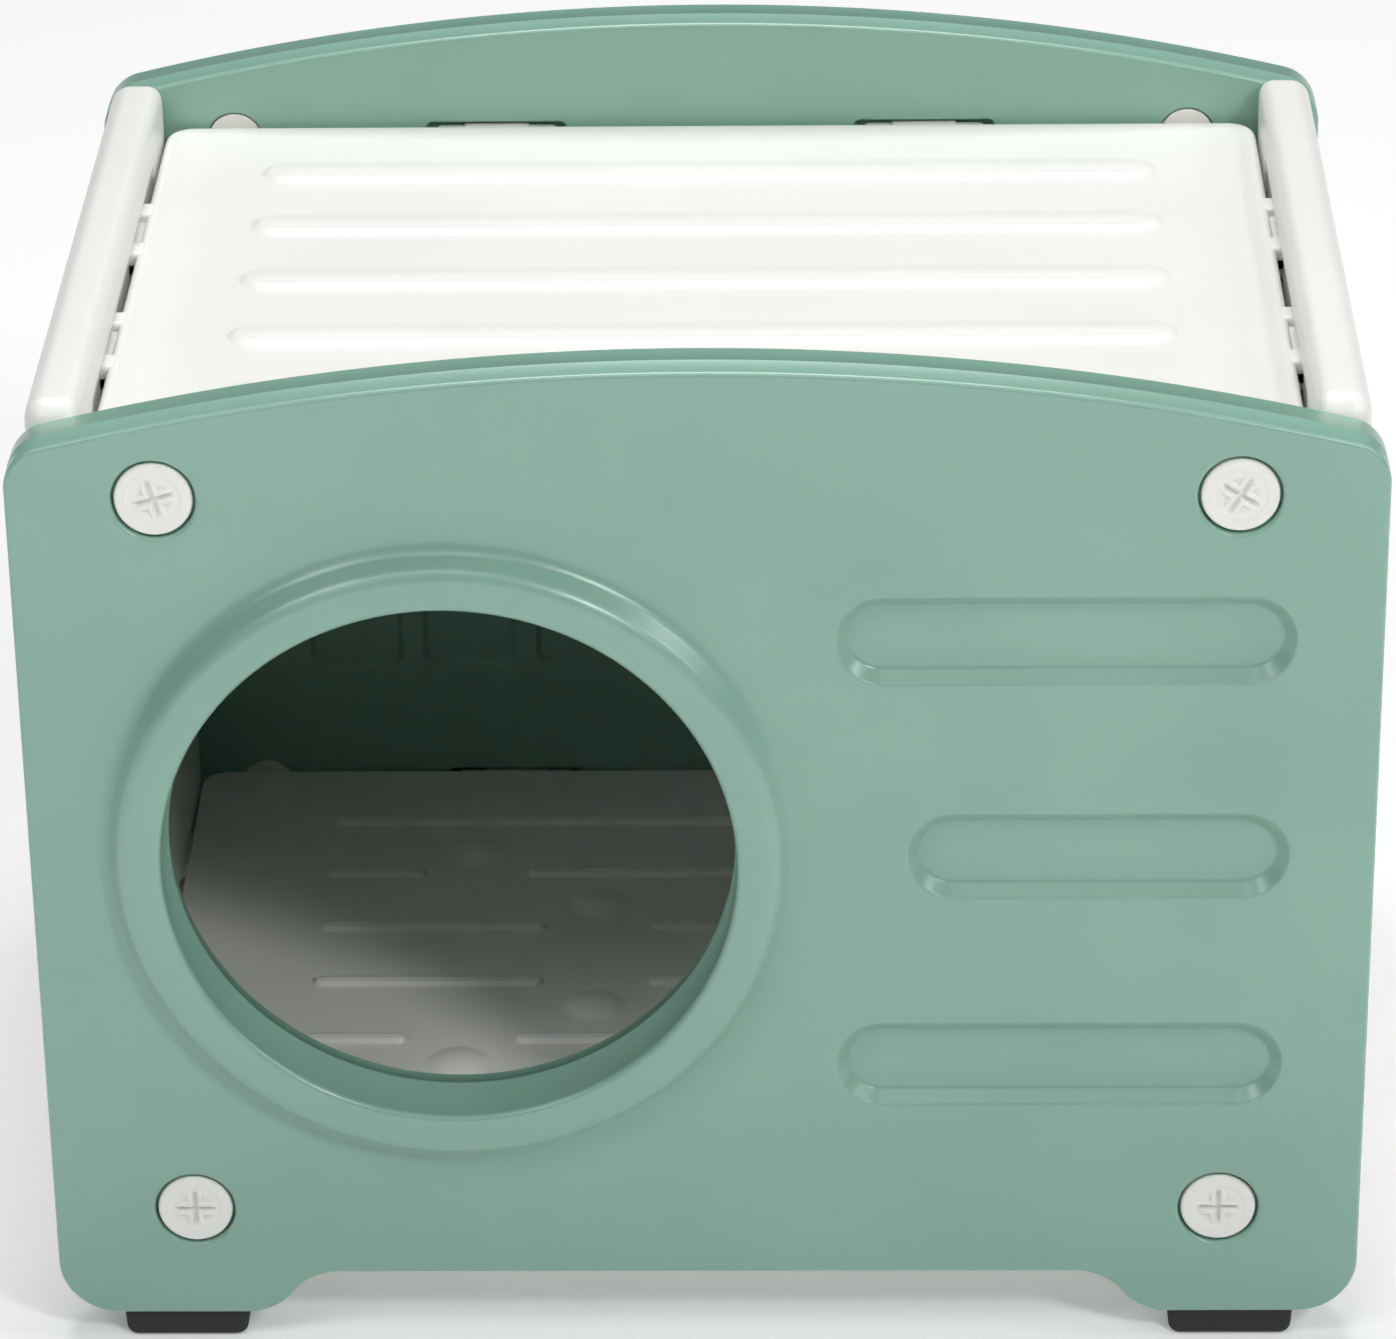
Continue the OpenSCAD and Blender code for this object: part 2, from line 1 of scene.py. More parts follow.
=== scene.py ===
"""A small-animal house of hollow moulded plastic panels, screwed together, on rubber feet.

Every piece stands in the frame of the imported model: metres, +Z up, the entrance facing -Y. Flat
faces are filled up to bands, and a band is a profile carried along a closed path in the face's own
plane.
"""

import math

import bmesh
import bpy
import numpy as np
from bpy.props import FloatProperty, FloatVectorProperty, PointerProperty
from mathutils import Matrix, Vector
from mathutils.geometry import delaunay_2d_cdt


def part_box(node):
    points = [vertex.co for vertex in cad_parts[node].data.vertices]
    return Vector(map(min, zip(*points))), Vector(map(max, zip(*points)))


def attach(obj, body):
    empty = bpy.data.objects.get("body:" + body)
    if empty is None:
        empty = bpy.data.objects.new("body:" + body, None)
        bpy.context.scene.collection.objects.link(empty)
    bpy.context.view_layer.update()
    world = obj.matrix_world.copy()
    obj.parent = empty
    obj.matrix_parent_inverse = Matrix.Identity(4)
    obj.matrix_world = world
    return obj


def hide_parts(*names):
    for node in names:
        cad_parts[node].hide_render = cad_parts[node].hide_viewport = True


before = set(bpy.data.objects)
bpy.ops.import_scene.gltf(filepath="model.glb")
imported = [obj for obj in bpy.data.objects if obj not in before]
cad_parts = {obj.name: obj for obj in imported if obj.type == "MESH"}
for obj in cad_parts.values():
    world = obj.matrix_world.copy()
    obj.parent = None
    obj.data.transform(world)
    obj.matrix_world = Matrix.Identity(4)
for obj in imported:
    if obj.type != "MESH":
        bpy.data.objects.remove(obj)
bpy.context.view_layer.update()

bl_info = {
    "name": "Small-Animal House",
    "version": (1, 0, 0),
    "blender": (4, 5, 0),
    "location": "View3D > Sidebar > House",
    "description": "Builds the moulded panels, screws, bushes and feet of a small-animal house",
    "category": "Add Mesh",
}

MM = 0.001
GUARD = 0.5 * MM  # flat strip beside a fillet, which keeps the flat face's shading flat
NARROW_GUARD = 0.15 * MM  # the same where there is little room
CHORD = 0.01 * MM  # how far an arc's chords may stray from the arc
ARC_STEP = 9  # most degrees between the points of a profile's arc
MERGE = 0.002 * MM  # points nearer than this are one
CRISP, FINE, PLAIN = 0.3 * MM, 0.5 * MM, 0.8 * MM  # radii of edges that no setting gives
UPRIGHT = 0.1 * MM  # slope of a wall that stands nearly square to its face
BLOCK_EDGE = 1 * MM  # radius along the edges of tongues and plugs
BLOCK_CORNER = 2 * MM  # radius of the outlines of tongues and their sockets
ROOT = 3 * MM  # how far a tongue or a plug reaches into the piece it belongs to
END_GAP = 0.3 * MM  # gap between a white panel's end and a green panel
BODY = "root"

FRONT_LOW, FRONT_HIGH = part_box("front_panel")
BACK_LOW, BACK_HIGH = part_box("back_panel")
ROOF_LOW, ROOF_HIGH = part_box("roof_panel")
FLOOR_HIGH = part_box("floor_panel")[1]
SIDE_LOW, SIDE_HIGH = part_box("right_side_panel")
LEG_Z = FRONT_LOW.z
INNER_FRONT = FRONT_HIGH.y
INNER_BACK = BACK_LOW.y
PANEL_THICKNESS = BACK_HIGH.y - BACK_LOW.y
FRONT_FACE = INNER_FRONT - PANEL_THICKNESS
MIDDLE_Y = (INNER_FRONT + INNER_BACK) / 2


# ---- sizes and colours a user would change ----


def length(name, description, millimetres):
    """A length property with its default in millimetres."""
    return FloatProperty(
        name=name, description=description, default=millimetres * MM, unit="LENGTH"
    )


def colour(name, description, default):
    """A linear colour property."""
    return FloatVectorProperty(
        name=name, description=description, default=default, subtype="COLOR", size=3, min=0, max=1
    )


def share(name, description, default):
    """A number from 0 to 1."""
    return FloatProperty(
        name=name, description=description, default=default, min=0, max=1, subtype="FACTOR"
    )


def watts(name, place, default):
    """The power of a lamp."""
    return FloatProperty(
        name=name, description=f"Watts of the light {place}", default=default, min=0, unit="POWER"
    )


class HousePanelSizes(bpy.types.PropertyGroup):
    """The green front and back panels."""

    arch_rise: length("Arch rise", "Height of the arch above its level at the sides", 33.2)
    top_corner: length("Top corner", "Radius of the two top corners", 18)
    leg_height: length("Leg height", "Height of the legs below the raised middle", 19)
    leg_width: length("Leg width", "Width of a leg's flat foot", 75)
    leg_run: length("Leg slope", "Run of the S-curve beside a leg", 38)
    leg_corner: length("Leg corner", "Radius of the outer bottom corners", 24)
    edge: length("Edge radius", "Radius along the front and back edges", 1.8)
    draft: length("Draft", "How far the rim leans in from its parting line", 0.1)
    seam: length("Parting line", "Height of the fine ridge where the mould's halves met", 0.06)
    pocket_pitch: length("Pocket pitch", "Distance between the bars of the inner pockets", 50.5)
    middle_pocket: length("Middle pocket", "Half-width of the middle inner pocket", 34.7)
    pocket_bar: length("Pocket bar", "Width of a bar between pockets", 9)
    pocket_depth: length("Pocket depth", "Depth of the inner pockets", 3)
    pocket_rise: length("Pocket rise", "Pockets' lower edge above the floor", 53)
    pocket_drop: length("Pocket drop", "Pockets' upper edge below the roof's underside", 30)
    pocket_corner: length("Pocket corner", "Radius of the pockets' corners", 6)


class HouseOpeningSizes(bpy.types.PropertyGroup):
    """The entrance and the slot-shaped recesses of the front panel."""

    entrance_x: length("Entrance across", "Entrance centre from the middle", -97)
    entrance_z: length("Entrance height", "Entrance centre above the ground", 221.55)
    entrance_radius: length("Entrance radius", "Radius of the round entrance", 111)
    ring_width: length("Ring width", "Width of the ring's flat face", 15.5)
    ring_draft: length("Ring slope", "Width of the slope round the ring", 6.5)
    ring_base: length("Ring base fillet", "Radius of the fillet at the foot of the ring", 7)
    ring_edge: length("Ring edge", "Radius along the ring's outer edge", 7)
    ring_lip: length("Entrance lip", "Radius along the entrance's front edge", 2.6)
    parting: length("Entrance parting line", "Its distance behind the panel's face", 15.4)
    slot_left: length("Slots' left end", "Left end of the upper and lower slots", 52)
    slot_middle_left: length("Middle slot's left end", "Left end of the middle slot", 79.5)
    slot_right: length("Slots' right end", "Right end of all slots", 227)
    slot_pitch: length("Slot pitch", "Upright distance between slots", 93)
    slot_height: length("Slot height", "Height of a slot", 37)
    slot_depth: length("Slot depth", "Depth of a slot", 5.5)
    slot_draft: length("Slot slope", "Width of a slot's sloping wall", 4.6)
    slot_lip: length("Slot lip", "Radius along a slot's edge", 1.6)
    slot_foot: length("Slot foot", "Radius at the foot of a slot's wall", 2)


class HouseDeckSizes(bpy.types.PropertyGroup):
    """The white roof, floor and side panels."""

    deck_thickness: length("Thickness", "Thickness of the roof and the floor", 24)
    deck_corner: length("Corner", "Plan radius of the roof's and floor's corners", 12)
    roof_edge: length("Roof edge", "Radius along the roof's top edges", 4.5)
    floor_edge: length("Floor edge", "Radius along the floor's top edges", 1.2)
    deck_low_edge: length("Bottom edge", "Radius along their bottom edges", 3)
    roof_rib_pitch: length("Roof rib pitch", "Distance between roof ribs", 56)
    roof_rib_width: length("Roof rib width", "Width of a roof rib", 22)
    roof_rib_half: length("Roof rib reach", "Rib end from the middle", 187)
    roof_rib_height: length("Roof rib height", "Height of a roof rib", 2.5)
    floor_rib_pitch: length("Floor rib pitch", "Distance between floor ribs", 47.2)
    floor_rib_width: length("Floor rib width", "Width of a floor rib", 8)
    floor_rib_half: length("Floor rib reach", "Rib end from the middle", 169)
    floor_rib_height: length("Floor rib height", "Height of a floor rib", 2.6)
    dome_radius: length("Dome radius", "Radius of a dome on the floor", 12.5)
    dome_height: length("Dome height", "Height of a dome on the floor", 3)
    dome_x_outer: length("Outer dome across", "Outer dome from the middle, sideways", 103.8)
    dome_y_outer: length("Outer dome along", "Outer dome from the middle, front to back", 90)
    dome_x_inner: length("Inner dome across", "Inner dome from the middle, sideways", 49)
    dome_y_inner: length("Inner dome along", "Inner dome from the middle, front to back", 43.3)
    rib_break: length("Rib break", "Gap in a rib beside a dome", 44.3)
    tongue_x: length("Tongue across", "Edge tongues' centres from the middle", 91.5)
    tongue_width: length("Tongue width", "Width of a tongue on the front and back edges", 52)
    tongue_middle: length("Tongue middle", "Width of a tongue's middle part", 29)
    tongue_depth: length("Tongue height", "Height of a tongue", 12)
    tongue_step: length("Tongue step", "Step between a tongue's middle and its ends", 2)
    tongue_length: length("Tongue length", "How far an edge tongue stands out", 5)
    side_tongue_y: length("Side tongue along", "Side tongues' centres from the middle", 56)
    side_tongue_width: length("Side tongue width", "Width of a side tongue", 54)
    side_tongue_length: length("Side tongue length", "How far a side tongue stands out", 7.5)
    socket_play: length("Socket play", "Extra socket length at each end of a tongue", 4)
    clearance: length("Clearance", "Gap round a tongue in its socket", 0.5)
    side_edge: length("Side panel edge", "Radius along a side panel's inner edges", 6)
    side_rim: length("Side panel rim", "Radius along a side panel's outer edges", 8)
    side_corner: length("Side panel corner", "Radius of a side panel's top corners", 10)
    side_relief: length("Relief depth", "Depth of the relief along a side's inner face", 1.5)
    relief_half: length("Relief reach", "Relief end from the middle", 120.25)
    end_tongue_width: length("End tongue width", "Width of the sides' end tongues", 9)
    end_tongue_height: length("End tongue height", "Height of the sides' end tongues", 60)


class HouseFastenerSizes(bpy.types.PropertyGroup):
    """Screws, bushes and feet."""

    head_radius: length("Head radius", "Radius of a screw head", 14.8)
    head_thickness: length("Head thickness", "Thickness of a screw head", 4.7)
    head_recess: length("Head recess", "How far a head lies below the panel's face", 0.5)
    pocket_radius: length("Pocket radius", "Radius of the pocket round a head", 16)
    pocket_depth: length("Pocket depth", "Depth of the pocket round a head", 5.2)
    pocket_lip: length("Pocket lip", "Radius along the pocket's edge", 1.6)
    cross_half: length("Cross reach", "Half the length of the cross recess", 8.6)
    cross_width: length("Cross width", "Width of the cross recess", 1.8)
    cross_depth: length("Cross depth", "Depth of the cross recess", 2.4)
    lip_width: length("Lip width", "Width of the raised lips beside the cross", 2.1)
    lip_height: length("Lip height", "Height of the raised lips", 0.5)
    quadrant_depth: length("Quadrant depth", "Depth of the sunk corners behind the lips", 0.9)
    quadrant_reach: length("Quadrant reach", "How far the sunk corners fade outward", 3.6)
    shank_radius: length("Shank radius", "Radius of a screw's shank", 4)
    bush_radius: length("Flange radius", "Radius of a bush's flange", 11.3)
    bush_length: length("Flange length", "Length of a bush's flange", 5.5)
    bush_gap: length("Flange gap", "Gap round a flange in its socket", 0.6)
    barrel_radius: length("Barrel radius", "Radius of a bush's barrel", 5.4)
    foot_corner: length("Foot corner", "Radius of a foot's upright edges", 5.4)
    foot_edge: length("Foot edge", "Radius along a foot's bottom edges", 3.6)
    foot_taper: length("Foot taper", "How far a foot's sides lean in towards the ground", 0.8)
    plug_radius: length("Plug radius", "Radius of a foot's plug", 5)


class HouseFinish(bpy.types.PropertyGroup):
    """Colours and grain of the plastics and the rubber."""

    green: colour("Sage green", "Colour of the front and back panels", (0.235, 0.430, 0.345))
    white: colour("Warm white", "Colour of the roof, floor and sides", (0.86, 0.86, 0.825))
    screw_white: colour("Screw white", "Colour of the screws", (0.86, 0.86, 0.835))
    bush_white: colour("Bush white", "Colour of the bushes", (0.76, 0.75, 0.70))
    rubber: colour("Rubber", "Colour of the feet", (0.007, 0.007, 0.007))
    green_roughness: share("Green roughness", "Roughness of the green plastic", 0.34)
    white_roughness: share("White roughness", "Roughness of the white plastic", 0.36)
    grain: length("Grain", "Height of the moulded surface's fine grain", 0.02)


class HouseStage(bpy.types.PropertyGroup):
    """Camera and studio light."""

    lens: FloatProperty(
        name="Lens", description="Focal length in millimetres", default=153.2, min=20
    )
    eye: FloatVectorProperty(
        name="Eye", description="Camera position", default=(0.04645, -2.19423, 1.33194), size=3,
        unit="LENGTH",
    )
    pitch: FloatProperty(
        name="Pitch", description="Downward angle", default=math.radians(27.1336), subtype="ANGLE"
    )
    yaw: FloatProperty(
        name="Yaw", description="Turn to the left", default=math.radians(1.3281), subtype="ANGLE"
    )
    roll: FloatProperty(
        name="Roll", description="Lean of the camera", default=math.radians(0.8050),
        subtype="ANGLE",
    )
    key: watts("Key light", "from the upper right", 23)
    front: watts("Front light", "from above the camera", 5)
    right: watts("Right light", "beside the house on the right", 7)
    left: watts("Left light", "from the upper left", 7)
    fill: watts("Fill light", "from the front left", 1.2)
    top: watts("Top light", "from above and behind", 34)
    floor_glow: FloatProperty(
        name="Floor glow", description="Light given off by the floor", default=0.18, min=0
    )
    backdrop_glow: FloatProperty(
        name="Backdrop glow", description="The same at a distance", default=0.6, min=0
    )


# ---- paths, profiles and planes ----


def arc(u, v, radius, start, end, outside=False):
    """Rows (u, v, nu, nv) of an arc about (u, v): centre + radius (cos a, sin a) for a from start
    to end in degrees. The normal is (cos a, sin a), or its opposite where the piece is outside."""
    step = 2 * math.acos(1 - CHORD / radius)
    count = max(3, math.ceil(math.radians(abs(end - start)) / step) + 1)
    a = np.radians(np.linspace(start, end, count))
    way = np.stack([np.cos(a), np.sin(a)], axis=1)
    return np.hstack([(u, v) + radius * way, -way if outside else way])


def circle_path(u, v, radius):
    """A whole circle, without its repeated last point."""
    return arc(u, v, radius, 0, 360)[:-1]


def box_path(u0, u1, v0, v1, radius):
    """A rectangle with round corners: four quarter arcs, joined by its straight sides."""
    return np.vstack(
        [
            arc(u1 - radius, v0 + radius, radius, -90, 0),
            arc(u1 - radius, v1 - radius, radius, 0, 90),
            arc(u0 + radius, v1 - radius, radius, 90, 180),
            arc(u0 + radius, v0 + radius, radius, 180, 270),
        ]
    )


def stadium_path(u0, u1, v, radius):
    """A slot shape: two half circles, joined by two straight sides."""
    return np.vstack(
        [arc(u1 - radius, v, radius, -90, 90), arc(u0 + radius, v, radius, 90, 270)]
    )


def rounded(corners, side=1.0):
    """Rows (inset, depth, edge) through corners of (inset, depth, radius). Each corner with a
    radius gives way to an arc that touches both its sides: centre + radius times the blend of the
    two touching directions. edge is 1 in the middle of a bulging arc and -1 in a hollow one."""
    rows = []
    for before, here, after in zip([corners[0], *corners], corners, [*corners[1:], corners[-1]]):
        point, radius = np.array(here[:2]), here[2]
        if radius == 0:
            rows.append([*point, 0.0])
            continue
        back, on = np.array(before[:2]) - point, np.array(after[:2]) - point
        room = min(np.hypot(*back), np.hypot(*on))
        back, on = back / np.hypot(*back), on / np.hypot(*on)
        half = math.acos(np.clip(back @ on, -1, 1)) / 2
        reach = radius / math.tan(half)
        if reach > room:
            raise RuntimeError(f"a radius of {radius:.5f} m has no room at {point}")
        centre = point + (back + on) / np.hypot(*(back + on)) * radius / math.sin(half)
        sweep = math.pi - 2 * half
        s = np.linspace(0, 1, max(3, math.ceil(math.degrees(sweep) / ARC_STEP) + 1))[:, None]
        a, b = (point + back * reach - centre), (point + on * reach - centre)
        turned = centre + (a * np.sin((1 - s) * sweep) + b * np.sin(s * sweep)) / math.sin(sweep)
        bulge = side * np.sign(on[0] * back[1] - on[1] * back[0])
        rows.extend(np.hstack([turned, bulge * (0.3 + 0.7 * np.sin(s * math.pi))]).tolist())
    return np.array(rows)


class Plane:
    """A flat frame: a point is origin + u across + v up + w inward, w being its depth."""

    def __init__(self, origin, across, up, inward):
        self.origin, self.across = np.array(origin), np.array(across, float)
        self.up, self.inward = np.array(up, float), np.array(inward, float)

    def place(self, flat, depth):
        """The points in space of flat (u, v) rows at a depth."""
        return (
            self.origin
            + flat[..., :1] * self.across
            + flat[..., 1:2] * self.up
            + np.asarray(depth)[..., None] * self.inward
        )


def within(points, loops):
    """Even-odd rule: a point is within where a ray along +u meets the loops an odd number of
    times."""
    a = np.vstack(loops)
    b = np.vstack([np.roll(loop, -1, axis=0) for loop in loops])
    u, v = points[:, :1], points[:, 1:]
    rise = np.where(b[:, 1] == a[:, 1], 1.0, b[:, 1] - a[:, 1])
    meets = (a[:, 1] > v) != (b[:, 1] > v)
    return (meets & (u < a[:, 0] + (v - a[:, 1]) * (b[:, 0] - a[:, 0]) / rise)).sum(1) % 2 == 1


class Skin:
    """The points, edge weights and faces of one closed piece while it is being put together."""

    def __init__(self):
        self.points, self.edge, self.faces, self.count = [], [], [], 0

    def add(self, points, edge, faces):
        """Adds points with their edge weights, and faces that count from the first of them."""
        points = points.reshape(-1, 3)
        self.points.append(points)
        self.edge.append(np.broadcast_to(edge, len(points)))
        self.faces.extend((np.asarray(faces) + self.count).tolist())
        self.count += len(points)

    def grid(self, points, edge, closed=True):
        """Four-sided faces over a grid of points, which closes on itself along its second index."""
        rows, columns = points.shape[:2]
        i, j = np.meshgrid(np.arange(rows - 1), np.arange(columns - (not closed)), indexing="ij")
        nxt = (j + 1) % columns
        a, b = i * columns + j, i * columns + nxt
        self.add(points, edge, np.stack([a, b, b + columns, a + columns], -1).reshape(-1, 4))

    def carry(self, plane, path, profile):
        """Point (i, j) stands inset i inside path point j, along its normal, at depth i. Gives back
        the band's first and last loops in the plane."""
        flat = path[None, :, :2] - profile[:, 0, None, None] * path[None, :, 2:]
        depth = np.broadcast_to(profile[:, 1, None], flat.shape[:2])
        edge = np.repeat(profile[:, 2], len(path))
        self.grid(plane.place(flat, depth), edge)
        return flat[0], flat[-1]

    def fill(self, plane, depth, outline, holes=()):
        """A flat face at one depth, inside the outline and outside the holes, cut into triangles
        whose centres pass the even-odd rule."""
        loops = [outline, *holes]
        flat = np.vstack(loops)
        edges, start = [], 0
        for loop in loops:
            k = np.arange(len(loop))
            edges.append(np.stack([k, (k + 1) % len(loop)], 1) + start)
            start += len(loop)
        found = delaunay_2d_cdt((flat / MM).tolist(), np.vstack(edges).tolist(), [], 1, 1e-6)
        if len(found[0]) != len(flat):
            raise RuntimeError("the outlines of a flat face cross or touch")
        order = np.array(found[3]).ravel()
        triangles = order[np.array(found[2])]
        keep = within(flat[triangles].mean(1), loops)
        self.add(plane.place(flat, np.full(len(flat), depth)), 0.0, triangles[keep])

    def piece(self, name, material, slot, *nodes):
        """The finished piece: doubles merged, faces pointing outwards, shaded smooth."""
        mesh = bpy.data.meshes.new(name)
        mesh.from_pydata(np.vstack(self.points), [], self.faces)
        mesh.attributes.new("edge", "FLOAT", "POINT").data.foreach_set(
            "value", np.concatenate(self.edge).astype(np.float32)
        )
        work = bmesh.new()
        work.from_mesh(mesh)
        bmesh.ops.remove_doubles(work, verts=work.verts, dist=MERGE)
        bmesh.ops.dissolve_degenerate(work, edges=work.edges, dist=MERGE / 4)
        bmesh.ops.recalc_face_normals(work, faces=work.faces)
        if any(not e.is_manifold for e in work.edges):
            raise RuntimeError(f"{name} is not closed")
        work.to_mesh(mesh)
        work.free()
        mesh.shade_smooth()
        mesh.materials.append(material)
        made = bpy.data.objects.new(name, mesh)
        bpy.context.scene.collection.objects.link(made)
        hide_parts(*nodes)
        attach(made, BODY)
        return made


# ---- features shared by the pieces ----


def slab(skin, plane, path, thickness, outer_edge, inner_edge, draft=0.0, seam=0.0,
         outer=(), inner=()):
    """A closed slab: a rim with two rounded edges, with a fine ridge half-way if it has a seam,
    and two flat faces with the mouths of their features left out."""
    middle, lean = thickness / 2, seam + draft
    ridge = [(seam, middle - 2 * seam, 0), (0, middle, 0), (seam, middle + 2 * seam, 0)]
    rim = rounded(
        [
            (lean + outer_edge + GUARD, 0, 0),
            (lean, 0, outer_edge),
            *(ridge if seam else []),
            (lean, thickness, inner_edge),
            (lean + inner_edge + GUARD, thickness, 0),
        ],
        side=-1.0,
    )
    first, last = skin.carry(plane, path, rim)
    skin.fill(plane, 0, first, outer)
    skin.fill(plane, thickness, last, inner)


def recess(skin, plane, path, face, depth, draft, lip, foot, holes=(), guard=GUARD):
    """A recess from the depth of a face: a rounded lip, a sloping wall and a rounded foot, carried
    along its path, then a flat ground. Gives back its mouth."""
    profile = rounded(
        [
            (-lip - guard, face, 0),
            (0, face, lip),
            (draft, face + depth, foot),
            (draft + foot + guard, face + depth, 0),
        ],
        side=math.copysign(1.0, depth),
    )
    mouth, ground = skin.carry(plane, path, profile)
    skin.fill(plane, face + depth, ground, holes)
    return mouth


def rib(skin, plane, path, reach, height, slope, foot, shoulder, crown):
    """A raised rib: a hollow fillet, a slope and a rounded shoulder, then a crown that rises as a
    quarter sine to the path's middle line, reach inside it. Gives back its mouth."""
    low = height - crown
    side = rounded([(-foot - GUARD, 0, 0), (0, 0, foot), (slope, -low, shoulder),
                    (slope + shoulder, -low - 0.15 * crown, 0)])
    s = np.linspace(0, 1, 7)[1:]
    start = side[-1]
    top = np.stack(
        [
            start[0] + (reach - start[0]) * s,
            start[1] - (height + start[1]) * np.sin(s * math.pi / 2),
            0 * s,
        ],
        axis=1,
    )
    return skin.carry(plane, path, np.vstack([side, top]))[0]


def dome(skin, plane, u, v, radius, height):
    """A low dome: a hollow fillet, then the arc of a sphere of radius (r r + h h) / 2h up to its
    top. Gives back its mouth."""
    ball = (radius**2 + height**2) / (2 * height)
    start, end = 0.93 * radius, 1.12 * radius
    slant = np.linspace(start, 0, 14)
    rise = np.sqrt(ball**2 - slant**2) - (ball - height)
    foot = np.linspace(0, 1, 6)[:-1]
    skirt = end - foot * (end - start)
    lift = rise[0] * foot**2 * (2 - foot)
    inset = radius - np.concatenate([[end + GUARD], skirt, slant])
    depth = -np.concatenate([[0], lift, rise])
    edge = np.concatenate([np.zeros(len(foot) + 1), np.full(len(slant), 0.25)])
    return skin.carry(plane, circle_path(u, v, radius), np.stack([inset, depth, edge], 1))[0]


def peg(skin, plane, u, v, radius, low, high, lip):
    """A closed round peg between two depths, with rounded ends."""
    slab(skin, Plane(plane.place(np.array([u, v]), low), plane.across, plane.up, plane.inward),
         circle_path(0, 0, radius), high - low, lip, lip)


# ---- the pieces ----


def end_outline(sizes):
    """The green panels' outline, anticlockwise from the right bottom corner: corner arcs, the arch
    as part of a circle of radius (w w + r r) / 2r, and an S of two arcs beside each leg."""
    half, top = FRONT_HIGH.x, FRONT_HIGH.z
    arch = (half**2 + sizes.arch_rise**2) / (2 * sizes.arch_rise)
    cx, centre = half - sizes.top_corner, top - arch
    cz = centre + math.sqrt((arch - sizes.top_corner) ** 2 - cx**2)
    lean = math.degrees(math.atan2(cz - centre, cx))
    lx, lz = half - sizes.leg_corner, LEG_Z + sizes.leg_corner
    x2 = half - sizes.leg_width
    x1 = x2 - sizes.leg_run
    turn = 2 * math.atan(sizes.leg_height / sizes.leg_run)
    bend = sizes.leg_run / (2 * math.sin(turn))
    turn = math.degrees(turn)
    recess_z = LEG_Z + sizes.leg_height
    return np.vstack(
        [
            arc(lx, lz, sizes.leg_corner, -90, 0),
            arc(cx, cz, sizes.top_corner, 0, lean),
            arc(0, centre, arch, lean, 180 - lean)[1:-1],
            arc(-cx, cz, sizes.top_corner, 180 - lean, 180),
            arc(-lx, lz, sizes.leg_corner, 180, 270),
            arc(-x2, LEG_Z + bend, bend, -90, -90 + turn),
            arc(-x1, recess_z - bend, bend, 90 + turn, 90, outside=True)[1:],
            arc(x1, recess_z - bend, bend, 90, 90 - turn, outside=True),
            arc(x2, LEG_Z + bend, bend, -90 - turn, -90)[1:],
        ]
    )


def screw_places(side):
    """Name and axis (x, z) of the four screws of one end."""
    names = [f"screw_{side}_{v}_{h}" for v in ("top", "bottom") for h in ("left", "right")]
    boxes = [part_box(name) for name in names]
    return [(n, (lo.x + hi.x) / 2, (lo.z + hi.z) / 2) for n, (lo, hi) in zip(names, boxes)]


def end_mouths(skin, plane, scene):
    """Mouths of what both green panels have: pockets round the screw heads on the outer face, and
    sockets for bushes and tongues on the inner one."""
    fast, deck = scene.house_fasteners, scene.house_decks
    outer, inner = [], []
    for _, x, z in screw_places("front"):
        outer.append(
            recess(skin, plane, circle_path(x, z, fast.pocket_radius), 0, fast.pocket_depth,
                   UPRIGHT, fast.pocket_lip, FINE)
        )
        inner.append(
            recess(skin, plane, circle_path(x, z, fast.bush_radius + fast.bush_gap),
                   PANEL_THICKNESS, -fast.bush_length, UPRIGHT, FINE, FINE)
        )
    gap = deck.clearance
    reach = deck.tongue_width / 2 + deck.socket_play
    drop = deck.tongue_depth + deck.tongue_step + gap
    roof, floor = deck_tops(deck)
    for x in (-deck.tongue_x, deck.tongue_x):
        for z in (roof, floor):
            path = box_path(x - reach, x + reach, z - drop, z + gap, radius=3 * MM)
            inner.append(recess(skin, plane, path, PANEL_THICKNESS, -deck.tongue_length,
                                2 * CRISP, PLAIN, PLAIN))
    middle = (SIDE_LOW.x + SIDE_HIGH.x) / 2
    wide = deck.end_tongue_width / 2 + gap
    tall = deck.end_tongue_height / 2 + gap
    for x in (-middle, middle):
        for z in end_tongue_heights(deck):
            path = box_path(x - wide, x + wide, z - tall, z + tall, BLOCK_CORNER)
            inner.append(recess(skin, plane, path, PANEL_THICKNESS, -deck.tongue_length,
                                CRISP, FINE, FINE))
    return outer, inner


def finish_end(skin, plane, scene, outer, inner, name, node):
    """The rest of a green panel once its features' mouths are known: its rim and two flat faces."""
    size = scene.house_panels
    slab(skin, plane, end_outline(size), PANEL_THICKNESS, size.edge, size.edge, size.draft,
         size.seam, outer, inner)
    skin.piece(name, green_plastic(scene), "green_plastic", node)


def deck_tops(deck):
    """Heights of the roof's and the floor's flat tops."""
    return ROOF_HIGH.z - deck.roof_rib_height, FLOOR_HIGH.z - deck.dome_height


def end_tongue_heights(deck):
    """Middle heights of the side panels' end tongues: a quarter of the way from floor and roof."""
    roof, floor = deck_tops(deck)
    return floor + (roof - floor) / 4, roof - (roof - floor) / 4


